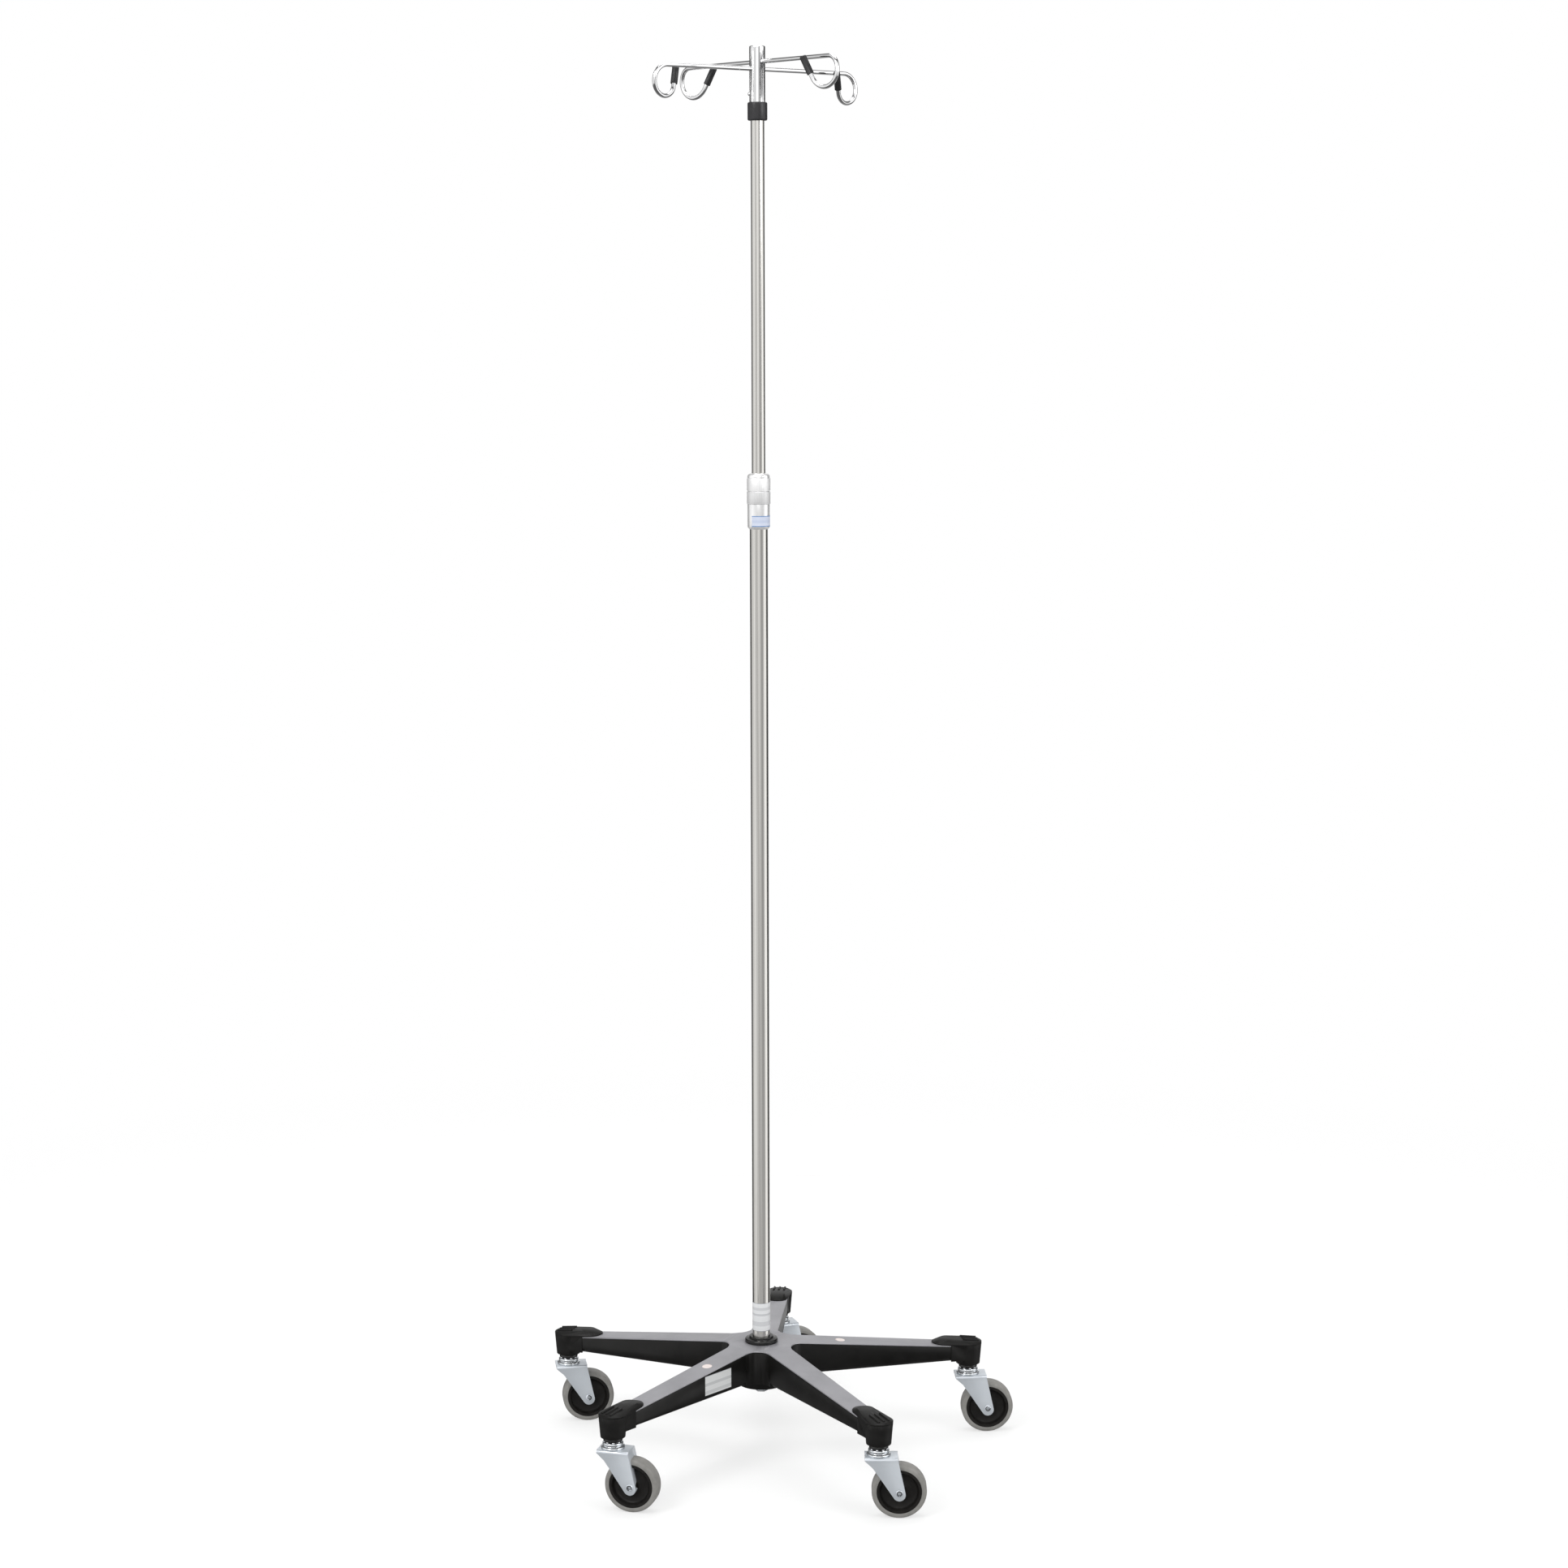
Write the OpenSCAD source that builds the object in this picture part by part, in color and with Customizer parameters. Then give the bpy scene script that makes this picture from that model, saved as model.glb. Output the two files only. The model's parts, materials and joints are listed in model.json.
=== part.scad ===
// Wheeled five-leg pole with a telescoping mast and four bag hooks.
// Millimetres, +Z up. The origin is on the floor, on the pole's axis.
// The first leg points along +Y and the others follow clockwise.

/* [Casters] */
// Diameter of the wheels over the tyre
wheel_d = 76.2; // [63:0.1:92]
// Width of the tyre
tyre_w = 24; // [20:0.5:28]
// Thickness of the tyre, from the core to the tread
tyre_t = 7; // [5:0.5:10]
// Distance from the swivel axis back to the wheel's axle
trail = 28.3; // [23:0.1:34]
// Gap between the tyre and the fork, at each side and above
tyre_gap = 2.5; // [2:0.1:4]
// Thickness of the fork's sheet
fork_t = 2.5; // [2:0.1:3.5]
// Diameter of the swivel stem
stem_d = 11.1; // [9:0.1:13.5]
// Length of the stem inside the base
stem_grip = 26; // [20:1:31]
// Diameter of the axle
axle_d = 7.9; // [6:0.1:9]
// Diameter of the swivel raceway
race_d = 34; // [30:0.5:36]
// Direction in which each caster trails, legs clockwise from the back one
trail_angle = [25, 8, 4, -10, 13]; // [-180:1:180]

/* [Base] */
// Radius of the circle through the caster stems
stem_circle_r = 313; // [260:1:380]
// Height of the arms' flat underside above the caster socket
arm_rise = 7.5; // [5:0.5:12]
// Height of an arm at the hub, with the cover plate
arm_root_h = 49.5; // [41:0.5:60]
// Height of an arm where it enters the end cap
arm_tip_h = 24.1; // [22:0.1:29]
// Width of an arm at the hub
arm_root_w = 39; // [32:0.5:47]
// Width of an arm where it enters the end cap
arm_tip_w = 31; // [30:0.5:34]
// Radius of the fillet between two arms
web_r = 22; // [16:0.5:27]
// Thickness of the cover plate
cover_t = 2; // [1.5:0.1:3]
// Diameter of the round boss under the hub
hub_d = 68; // [60:1:74]
// Width of the ring round the pole on top of the hub
ring_w = 11; // [8:0.5:14]

/* [Lower tube] */
// Outer diameter of the lower tube
outer_d = 25.4; // [21:0.1:31]
// Wall of both tubes
tube_wall = 1.2; // [1:0.1:1.5]
// Length of the lower tube
outer_len = 1270; // [1050:1:1530]

/* [Mast] */
// Gap between the mast and the lower tube's bore, at each side
mast_gap = 1.975; // [1.6:0.005:2.4]
// Length of the mast tube
mast_len = 1270; // [1050:1:1530]
// Length of mast that shows between the lock and the neck sleeve
mast_out = 482; // [300:1:580]

/* [Lock] */
// Wall of the lock's smooth parts round the lower tube
lock_wall = 3.1; // [2.6:0.1:4]
// Rise of the lock's grip bands above the smooth parts
grip_rise = 0.7; // [0.3:0.1:1.2]
// Height of the fixed lower half
lock_body_h = 53; // [44:0.5:64]
// Height of the twisting upper half
lock_knob_h = 25; // [24:0.5:32]
// Height of each grip band
grip_h = 18; // [10:0.5:18]

/* [Head] */
// Wall of the head tube
head_wall = 1.525; // [1.2:0.005:2]
// Height of the head tube above the neck sleeve
head_h = 75.5; // [62:0.5:95]
// Wall of the neck sleeve round the head tube
neck_wall = 2.55; // [1.5:0.05:4]
// Height of the neck sleeve
neck_h = 25; // [18:0.5:32]
// Turn of the hooks round the pole, in degrees
hook_turn = 43.3; // [0:0.1:90]

/* [Hooks] */
// Diameter of the hook rods
rod_d = 6.35; // [5:0.05:7.7]
// Reach from the pole's axis to the outer edge of a hook
hook_reach = 177; // [140:1:220]
// Radius of the hook's loop, at the rod's centre
loop_r = 20.6; // [17:0.1:25]
// Sweep of the loop, in degrees
loop_sweep = 250; // [235:1:265]
// Sideways offset of a hook's end
loop_offset = 20; // [16:0.5:24]
// Length of the rubber tips
tip_len = 26; // [20:0.5:32]
// Wall of the rubber tips
tip_wall = 1.525; // [1:0.005:2.5]

/* [Hidden] */
$fn = 64;
leg_count = 5;
leg_step = 360 / leg_count;
fit_gap = 0.05;             // radial gap between pieces that stay together
run_gap = 0.08;             // radial gap of a running fit
free_gap = 0.3;             // gap between moving pieces that don't bear on each other
eps = 0.01;
edge = 0.8;                 // small chamfer

// Heights of the caster, from the floor up
wheel_r = wheel_d / 2;
fork_head_gap = 9.9;
fork_z = wheel_d + fork_head_gap;           // underside of the fork's top
race_z = fork_z + fork_t;
race_h = 8.9;
race_step_h = 4;
ball_r = 2;
ball_count = 8;
ball_slot = 1;                              // height of the slit that shows the balls
cup_z = race_z + race_h + ball_slot;
cup_h = 6;
stem_r = stem_d / 2;
cup_r = stem_r + 7.95;
ball_z = cup_z - ball_slot / 2;
ball_circle_r = stem_r + 5.25;
socket_z = cup_z + cup_h;

// Fork
fork_in_w = tyre_w + 2 * tyre_gap;
fork_w = fork_in_w + 2 * fork_t;
fork_front = race_d / 2 + 1.5;
fork_back = trail - 2.8;
fork_corner_r = 5;
fork_shoulder = 4;                          // straight edge below the fork's top
fork_end_r = 7.8;
fork_end_drop = 2.5;                        // the rounded end's centre below the axle
fork_knee = [-8, 13.5];                     // first knee of the leading edge, from the top
fork_bend = [1.4, 27];                      // second knee
rivet_head_r = stem_r + 2.45;
rivet_head_h = 3;
axle_r = axle_d / 2;
axle_head_r = axle_r + 1.25;
axle_head_h = 1.4;
axle_hole_r = axle_r - 1.65;
axle_hole_h = 3;

// Wheel core
core_r = wheel_r - tyre_t;
core_rim_t = 4;
core_hub_r = axle_r + 5.05;
core_web_w = 10;
core_w = tyre_w - 1;
core_hub_w = fork_in_w - 2 * free_gap - 0.4;
tyre_round = 4.5;

// Base heights
arm_z = socket_z + arm_rise;                // underside of the arms
deck_z = arm_z + arm_root_h;                // flat top of the cover plate
hub_z = arm_z - 13;                         // underside of the hub's boss
deck_flat_r = 45;                           // the arms' tops fall from here outwards
belly_r = 9;                                // rounding of the arms' lower edges
belly_over = 0.4;                           // the rounding crosses the faces by this much

// Base plan
arm_end = stem_circle_r - 30;               // where an arm steps down into its cap
arm_fall = atan((arm_root_h - arm_tip_h) / (arm_end - deck_flat_r));
web_foot = (arm_root_w / 2 + web_r) / tan(leg_step / 2);
arm_taper = atan((arm_root_w - arm_tip_w) / 2 / (arm_end - web_foot));
socket_r = stem_r + 9.45;                   // caster boss at the arm's end
socket_h = stem_grip + 1;
shank_w = 2 * socket_r - 4;                 // part of an arm that the cap covers
cover_end = arm_end - fit_gap;

// End cap
cap_top_r = socket_r + 5;
cap_foot_r = socket_r + 2.5;
cap_roof_t = 3.6;
cap_wall_h = max(deck_at(stem_circle_r - cap_top_r) - socket_z, socket_h + cap_roof_t);
cap_shoulder_h = cap_wall_h + 1.9;
cap_crown_h = cap_wall_h + 3.7;             // rounded edge of the cap's top
cap_crown_r = cap_top_r - 3;
cap_crest_h = cap_wall_h + 8.9;             // highest line of the cap
cap_crest_r = 11.5;
cap_crest_back = 33;
cap_tongue_back = 41;
cap_tongue_r = 14.6;
cap_tongue_t = 1.6;
cap_cheek_w = arm_tip_w + 1;
cap_cheek_rise = 0.5;                       // cheek above the cover plate
cap_slope = atan((cap_crest_h - cap_crown_h) / (cap_crest_back - cap_crest_r + cap_crown_r));
rib_r = 1.6;
rib_len = 24;
rib_back = 10;
rib_pitch = 8;
rib_z = cap_crown_h + (cap_crown_r + rib_back) * tan(cap_slope);

// Hub
ring_rim_h = 5.5;
ring_top_h = 9;
ring_round = 2;
ring_neck_w = 4.8;
plug_h = 30;
bolt_d = 10;
bolt_head_af = 17;
bolt_head_h = 6.4;
bolt_len = 24;
washer_r = outer_d / 2 + 8.3;
washer_h = 5;
bolt_gap = 0.3;
washer_lip = 1.5;

// Lower tube and lock
outer_r = outer_d / 2;
outer_in_r = outer_r - tube_wall;
tube_z = hub_z + 2;                         // foot of the lower tube
tube_top = tube_z + outer_len;
lock_grip = 30;                             // length of tube inside the lock
lock_z = tube_top - lock_grip;
lock_mid = lock_z + lock_body_h;
lock_top = lock_mid + lock_knob_h;
lock_seam = 0.3;
lock_chamfer = 2.4;
lock_shoulder_t = 5;                        // inner stop above the lower tube
spigot_h = 13;
knob_roof_t = 5.5;
knob_round = 5;

lock_r = outer_r + lock_wall;
grip_r = lock_r + grip_rise;

// Mast
mast_r = outer_in_r - mast_gap;
mast_in_r = mast_r - tube_wall;
collet_t = 1.945;
collet_lead = 4.5;                          // tapered nose of the collet
spigot_in_r = mast_r + run_gap + collet_t + fit_gap;
spigot_r = spigot_in_r + 1.5;
neck_z = lock_top + mast_out;
neck_top = neck_z + neck_h;
neck_lip = 4;
neck_round = 2.2;
head_in_r = mast_r + fit_gap;
head_r = head_in_r + head_wall;
neck_r = head_r + fit_gap + neck_wall;
head_cap_h = 3;
head_cap_round = 1.8;
head_plug_h = 8;
head_foot = neck_z + neck_lip;
head_top = neck_top + head_h;
button_z = neck_top + 11;
rod_drop = 21.5;                            // from the head's top to the upper rod
mast_top = head_top - rod_drop - 25;
mast_foot = mast_top - mast_len;
bush_h = 25;
bush_spigot_h = 15;
button_r = 3;
button_out = 2.2;
leaf_x = 6;
leaf_t = 0.8;
leaf_w = 7;
leaf_h = 26;
button_angle = 135;                         // between two hooks

// Hooks
rod_r = rod_d / 2;
rod_sides = 16;
rod_gap = rod_d + 3.15;
rod_z = [head_top - rod_drop - rod_gap, head_top - rod_drop];
loop_x = hook_reach - rod_r - loop_r;
loop_steps = 30;
loop_len = loop_r * loop_sweep * PI / 180;
tip_over = 2;                               // end wall of a tip
rise_len = tip_len - tip_over + 3.3;        // straight end of the rod, past the loop
drift = loop_offset / (loop_len * (loop_len + 2 * rise_len));
tip_r = rod_r + fit_gap + tip_wall;
tip_round = 1.6;

// Blank labels
label_t = 0.15;
tube_label_z = deck_z + 18;
tube_label_h = 42;
leg_label_at = [88, 142];
leg_label_margin = 1;
badge_r = 7;
badge_at = 118;
lock_label_h = 15;

LEGS = [for (i = [0:leg_count - 1]) i];

// ---- Placing ----

function leg_angle(i) = 90 - leg_step * i;

// Puts a shape drawn along +X onto leg i
module on_leg(i) {
    rotate([0, 0, leg_angle(i)]) children();
}

module on_each_leg() {
    for (i = LEGS) on_leg(i) children();
}

// Puts a caster piece, drawn round its swivel axis with its trail along +X, in place
module on_caster(i) {
    on_leg(i) translate([stem_circle_r, 0, 0])
        rotate([0, 0, trail_angle[i] - leg_angle(i)]) children();
}

module on_each_stem() {
    on_each_leg() translate([stem_circle_r, 0, 0]) children();
}

// Puts a hook piece, drawn along +X, on hook k: even hooks are on the lower rod
module on_hook(k) {
    rotate([0, 0, hook_turn + 90 * k]) translate([0, 0, rod_z[k % 2]]) children();
}

// ---- Plain helpers ----

module tube(r_out, r_in, h) {
    difference() {
        cylinder(r = r_out, h = h);
        translate([0, 0, -eps]) cylinder(r = r_in, h = h + 2 * eps);
    }
}

// Points of an arc round c, from angle a0 to a1
function arc(c, r, a0, a1, n = 6) =
    [for (i = [0:n]) let(a = a0 + (a1 - a0) * i / n) c + r * [cos(a), sin(a)]];

// ---- Base ----

// Height of the cover plate's top above a point on an arm, at x along it
function deck_at(x) = deck_z - max(0, x - deck_flat_r) * tan(arm_fall);

// Plan of all arms with the filleted webs between them
module star_plan(end) {
    root = arm_root_w / 2;
    tip = arm_tip_w / 2;
    half_web = 90 - leg_step / 2;
    outline = concat([[end, -tip], [end, tip]],
        arc([web_foot, root + web_r], web_r, 270, 270 - 2 * half_web, 18));
    polygon([for (i = LEGS, p = outline) let(a = -leg_angle(leg_count - i))
        [p[0] * cos(a) + p[1] * sin(a), p[1] * cos(a) - p[0] * sin(a)]]);
}

// Everything above the falling tops of the arms, lowered by drop
module above_deck(drop) {
    far = stem_circle_r + 60;
    near = deck_flat_r - 10;
    foot = deck_z - drop;
    slope = tan(arm_fall);
    translate([0, 0, foot]) cylinder(r = far, h = 80);
    on_each_leg() rotate([90, 0, 0]) translate([0, 0, -arm_root_w])
        linear_extrude(2 * arm_root_w) polygon([
            [near, foot + (deck_flat_r - near) * slope], [far, foot + (deck_flat_r - far) * slope],
            [far, deck_z + 60], [near, deck_z + 60]]);
}

// Rounded lower edges of one arm, as the solid that is cut away
module belly_cut() {
    mid = belly_r - belly_over;
    for (s = [0, 1]) mirror([0, s, 0])
        translate([web_foot, arm_root_w / 2, arm_z]) rotate([0, 0, -arm_taper])
            rotate([90, 0, 90]) linear_extrude(arm_end - web_foot + 20)
                polygon(concat([[-mid, -1]], arc([-mid, mid], belly_r, -90, 0, 8), [[1, mid], [1, -1]]));
}

module spider_base() {
    color([0.07, 0.07, 0.07]) difference() {
        union() {
            translate([0, 0, arm_z]) linear_extrude(arm_root_h + 5) star_plan(arm_end);
            translate([0, 0, hub_z]) cylinder(r = hub_d / 2, h = 30);
            on_each_leg() {
                translate([arm_end - 1, -shank_w / 2, arm_z])
                    cube([stem_circle_r - arm_end + 1, shank_w, socket_h - arm_rise]);
                translate([stem_circle_r, 0, socket_z]) cylinder(r = socket_r, h = socket_h);
            }
        }
        above_deck(cover_t);
        on_each_leg() belly_cut();
        translate([0, 0, hub_z - eps]) cylinder(r = outer_r + fit_gap, h = deck_z - hub_z);
        on_each_stem() translate([0, 0, socket_z - eps])
            cylinder(r = stem_r + fit_gap, h = stem_grip + eps);
    }
}

module star_cover() {
    color([0.62, 0.61, 0.64]) difference() {
        intersection() {
            translate([0, 0, arm_z]) linear_extrude(arm_root_h + 5) star_plan(cover_end);
            above_deck(cover_t);
        }
        above_deck(0);
        translate([0, 0, arm_z]) cylinder(r = outer_r + 2, h = arm_root_h + 10);
    }
}

// One end cap, drawn round its stem's axis with the pole towards -X
module end_cap() {
    difference() {
        union() {
            translate([0, 0, socket_z]) cylinder(r1 = cap_foot_r, r2 = cap_top_r, h = cap_wall_h);
            translate([arm_end - stem_circle_r, -cap_cheek_w / 2, arm_z])
                cube([stem_circle_r - arm_end, cap_cheek_w, deck_at(arm_end) + cap_cheek_rise - arm_z]);
        }
        cap_pocket();
    }
    cap_top();
    for (s = [-1:1])
        translate([-rib_back, s * rib_pitch, socket_z + rib_z])
            rotate([0, 90 + cap_slope, 0]) cylinder(r = rib_r, h = rib_len, $fn = 20);
}

// Sloping top of an end cap, with the tongue that laps over the cover plate
module cap_top() {
    tongue_x = stem_circle_r - cap_tongue_back;
    hull() {
        translate([0, 0, socket_z + cap_wall_h - eps])
            cylinder(r = cap_top_r, h = cap_shoulder_h - cap_wall_h, $fn = 32);
        translate([0, 0, socket_z + cap_crown_h - 1]) cylinder(r = cap_crown_r, h = 1, $fn = 32);
        translate([-cap_crest_back, 0, socket_z + cap_crest_h - 1])
            cylinder(r = cap_crest_r, h = 1, $fn = 32);
        translate([-cap_tongue_back, 0, deck_at(tongue_x) + fit_gap]) rotate([0, arm_fall, 0])
            cylinder(r = cap_tongue_r, h = cap_tongue_t, $fn = 32);
    }
}

// Space inside an end cap for the arm's end
module cap_pocket() {
    pocket_w = shank_w / 2 + fit_gap;
    translate([0, 0, socket_z - eps]) cylinder(r = socket_r + fit_gap, h = socket_h + fit_gap);
    translate([arm_end - stem_circle_r - 1, -pocket_w, arm_z - 1])
        cube([stem_circle_r - arm_end + 1, 2 * pocket_w, socket_z + socket_h - arm_z + 1 + fit_gap]);
}

module end_caps() {
    color([0.08, 0.08, 0.08]) on_each_stem() end_cap();
}

module hub_ring() {
    bore = outer_r + fit_gap;
    rim = outer_r + ring_w;
    neck = outer_r + ring_neck_w;
    color([0.06, 0.06, 0.06]) translate([0, 0, deck_z]) rotate_extrude() polygon(concat(
        [[bore, 0], [rim, 0]],
        arc([rim - ring_round, ring_rim_h - ring_round], ring_round, 0, 80, 4),
        [[neck, ring_rim_h + edge], [neck - edge, ring_top_h - edge], [neck - 2 * edge, ring_top_h],
         [bore, ring_top_h]]));
}

module hub_washer() {
    bore = bolt_d / 2 + bolt_gap;
    color([0.75, 0.77, 0.78]) translate([0, 0, hub_z - washer_h]) rotate_extrude() polygon([
        [bore, 0], [washer_r - washer_lip, 0], [washer_r, washer_lip], [washer_r, washer_h],
        [bore, washer_h]]);
}

module hub_bolt() {
    color([0.72, 0.73, 0.75]) {
        translate([0, 0, hub_z - washer_h - bolt_head_h])
            cylinder(d = bolt_head_af / cos(30), h = bolt_head_h, $fn = 6);
        translate([0, 0, hub_z - washer_h - eps]) cylinder(d = bolt_d, h = washer_h + bolt_len);
    }
}

module tube_plug() {
    color([0.55, 0.55, 0.56]) translate([0, 0, tube_z])
        tube(outer_in_r - fit_gap, bolt_d / 2 + fit_gap, plug_h);
}

// ---- Casters ----

module caster_stems() {
    color([0.72, 0.74, 0.76]) on_each_stem() {
        translate([0, 0, fork_z - run_gap - rivet_head_h])
            cylinder(r1 = rivet_head_r - 1.5, r2 = rivet_head_r, h = rivet_head_h);
        translate([0, 0, fork_z - rivet_head_h]) cylinder(d = stem_d, h = socket_z + stem_grip - fork_z);
    }
}

// Ring of ball tracks, cut into the raceway and the cup
module ball_track() {
    translate([0, 0, ball_z]) rotate_extrude() translate([ball_circle_r, 0]) circle(r = ball_r + run_gap);
}

module swivel_cups() {
    r = cup_r;
    bore = stem_r + fit_gap;
    color([0.05, 0.05, 0.05]) on_each_stem() difference() {
        translate([0, 0, cup_z]) rotate_extrude() polygon([
            [bore, 0], [r - edge, 0], [r, edge], [r, cup_h - 2], [r - 1.5, cup_h], [bore, cup_h]]);
        ball_track();
    }
}

module swivel_balls() {
    color([0.9, 0.9, 0.92]) on_each_stem() for (j = [0:ball_count - 1])
        rotate([0, 0, 360 * j / ball_count]) translate([ball_circle_r, 0, ball_z]) sphere(r = ball_r);
}

module raceway(i) {
    r = race_d / 2;
    bore = stem_r + run_gap;
    color([0.8, 0.82, 0.84]) on_caster(i) difference() {
        translate([0, 0, race_z]) rotate_extrude() polygon(concat(
            [[bore, 0], [r - 0.5, 0]],
            arc([r - 1.5, 2], 1.5, -30, 90, 6),
            [[r - 2.4, race_step_h - 0.3]],
            arc([r - 4, race_h - 1.8], 1.8, 0, 90, 6),
            [[bore, race_h]]));
        ball_track();
    }
}

// Side outline of the fork, x along the trail and y up from the floor
module fork_side() {
    top = race_z;
    c = [trail, wheel_r - fork_end_drop];
    front = [fork_bend[0], top - fork_bend[1]];
    back = [fork_back, top - fork_shoulder];
    polygon([[-fork_front, top], [-fork_front, top - fork_shoulder],
             [fork_knee[0], top - fork_knee[1]], front, tangent(front, c, fork_end_r, -1),
             c, tangent(back, c, fork_end_r, 1), back, [fork_back, top]]);
    translate(c) circle(r = fork_end_r);
}

// Point where a line from p touches the circle round c, on the side given by s
function tangent(p, c, r, s) =
    let(d = p - c, a = atan2(d[1], d[0]) - s * acos(r / norm(d))) c + r * [cos(a), sin(a)];

module fork(i) {
    color([0.78, 0.81, 0.83]) on_caster(i) difference() {
        union() {
            translate([0, 0, fork_z]) linear_extrude(fork_t) union() {
                translate([-fork_front + fork_corner_r, -fork_w / 2])
                    square([fork_front + fork_back - fork_corner_r, fork_w]);
                translate([-fork_front, -fork_w / 2 + fork_corner_r])
                    square([2 * fork_corner_r, fork_w - 2 * fork_corner_r]);
                for (s = [-1, 1])
                    translate([fork_corner_r - fork_front, s * (fork_w / 2 - fork_corner_r)])
                        circle(r = fork_corner_r);
            }
            for (y = [fork_w / 2, -fork_in_w / 2]) translate([0, y, 0]) rotate([90, 0, 0])
                linear_extrude(fork_t) intersection() {
                    fork_side();
                    translate([-fork_front + fork_corner_r, 0])
                        square([fork_front + fork_back + 30, race_z]);
                }
        }
        translate([0, 0, fork_z - 1]) cylinder(r = stem_r + run_gap, h = fork_t + 2);
        translate([trail, 0, wheel_r]) rotate([90, 0, 0])
            cylinder(r = axle_r + fit_gap, h = fork_w + 2, center = true);
    }
}

module axle(i) {
    half = fork_w / 2;
    color([0.7, 0.72, 0.74]) on_caster(i) translate([trail, 0, wheel_r]) rotate([90, 0, 0]) difference() {
        union() {
            cylinder(d = axle_d, h = fork_w, center = true);
            for (s = [0, 1]) mirror([0, 0, s]) translate([0, 0, half])
                cylinder(r1 = axle_head_r, r2 = axle_head_r - 1, h = axle_head_h);
        }
        for (s = [0, 1]) mirror([0, 0, s])
            translate([0, 0, half + axle_head_h - axle_hole_h])
                cylinder(r = axle_hole_r, h = axle_hole_h + 1);
    }
}

module wheel_core(i) {
    bore = axle_r + run_gap;
    rim_in = core_r - core_rim_t;
    color([0.09, 0.085, 0.08]) on_caster(i) translate([trail, 0, wheel_r]) rotate([90, 0, 0])
        rotate_extrude() polygon([
            [bore, -core_hub_w / 2], [core_hub_r - 1, -core_hub_w / 2],
            [core_hub_r, -core_web_w / 2 - 2], [core_hub_r + 2, -core_web_w / 2],
            [rim_in - 2, -core_web_w / 2], [rim_in, -core_w / 2],
            [core_r, -core_w / 2], [core_r, core_w / 2], [rim_in, core_w / 2],
            [rim_in - 2, core_web_w / 2], [core_hub_r + 2, core_web_w / 2],
            [core_hub_r, core_web_w / 2 + 2], [core_hub_r - 1, core_hub_w / 2],
            [bore, core_hub_w / 2]]);
}

module tyre(i) {
    w = tyre_w / 2;
    r_in = core_r + fit_gap;
    color([0.55, 0.54, 0.53]) on_caster(i) translate([trail, 0, wheel_r]) rotate([90, 0, 0])
        rotate_extrude() polygon(concat(
            [[r_in, -w + edge], [r_in + edge, -w]],
            arc([wheel_r - tyre_round, -w + tyre_round], tyre_round, -90, 0, 6),
            arc([wheel_r - tyre_round, w - tyre_round], tyre_round, 0, 90, 6),
            [[r_in + edge, w], [r_in, w - edge]]));
}

// ---- Lower tube and lock ----

module outer_tube() {
    color([0.75, 0.74, 0.72]) translate([0, 0, tube_z]) tube(outer_r, outer_in_r, outer_len);
}

module lock_body() {
    r = lock_r;
    g = grip_r;
    tube_r = outer_r + fit_gap;
    pass_r = mast_r + free_gap;
    stop_z = lock_grip + fit_gap;
    color([0.8, 0.81, 0.82]) translate([0, 0, lock_z]) rotate_extrude() polygon([
        [tube_r, 0], [r - lock_chamfer, 0], [r, lock_chamfer], [r, lock_body_h - grip_h],
        [g, lock_body_h - grip_h + edge], [g, lock_body_h - edge], [g - edge, lock_body_h],
        [spigot_r, lock_body_h], [spigot_r, lock_body_h + spigot_h],
        [spigot_in_r, lock_body_h + spigot_h], [spigot_in_r, stop_z + lock_shoulder_t],
        [pass_r, stop_z + lock_shoulder_t], [pass_r, stop_z], [tube_r, stop_z]]);
}

module lock_collet() {
    foot = lock_grip + fit_gap + lock_shoulder_t;
    top = lock_body_h + spigot_h;
    bore = mast_r + run_gap;
    color([0.88, 0.87, 0.84]) translate([0, 0, lock_z]) rotate_extrude() polygon([
        [bore, foot], [spigot_in_r - fit_gap, foot], [spigot_in_r - fit_gap, top],
        [spigot_r - edge, top + fit_gap], [spigot_r - 2 * edge, top + collet_lead / 2],
        [bore, top + collet_lead]]);
}

module lock_knob() {
    r = lock_r;
    g = grip_r;
    in_r = spigot_r + free_gap;
    pass_r = mast_r + free_gap;
    h = lock_knob_h;
    roof = h - knob_roof_t;
    color([0.8, 0.81, 0.82]) translate([0, 0, lock_mid]) rotate_extrude() polygon(concat(
        [[in_r, lock_seam], [g - edge, lock_seam], [g, lock_seam + edge], [g, grip_h - edge],
         [r, grip_h]],
        arc([r - knob_round, h - knob_round], knob_round, 0, 80, 6),
        [[pass_r, h], [pass_r, roof + 1.5], [spigot_r - 1, roof], [in_r, roof - 2]]));
}

// ---- Mast and head ----

module guide_bush() {
    color([0.85, 0.84, 0.8]) translate([0, 0, mast_foot - free_gap - bush_h]) difference() {
        union() {
            cylinder(r = outer_in_r - run_gap, h = bush_h);
            cylinder(r = mast_in_r - run_gap, h = bush_h + bush_spigot_h);
        }
        translate([0, 0, -eps]) cylinder(r = mast_in_r - 2.5, h = bush_h + bush_spigot_h + 1);
    }
}

module button_hole(r_in, r_out) {
    rotate([0, 0, hook_turn + button_angle]) translate([r_in - 1, 0, button_z]) rotate([0, 90, 0])
        cylinder(r = button_r + 0.2, h = r_out - r_in + 2);
}

module inner_tube() {
    color([0.77, 0.76, 0.74]) difference() {
        translate([0, 0, mast_foot]) tube(mast_r, mast_in_r, mast_len);
        button_hole(mast_in_r, mast_r);
    }
}

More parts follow.
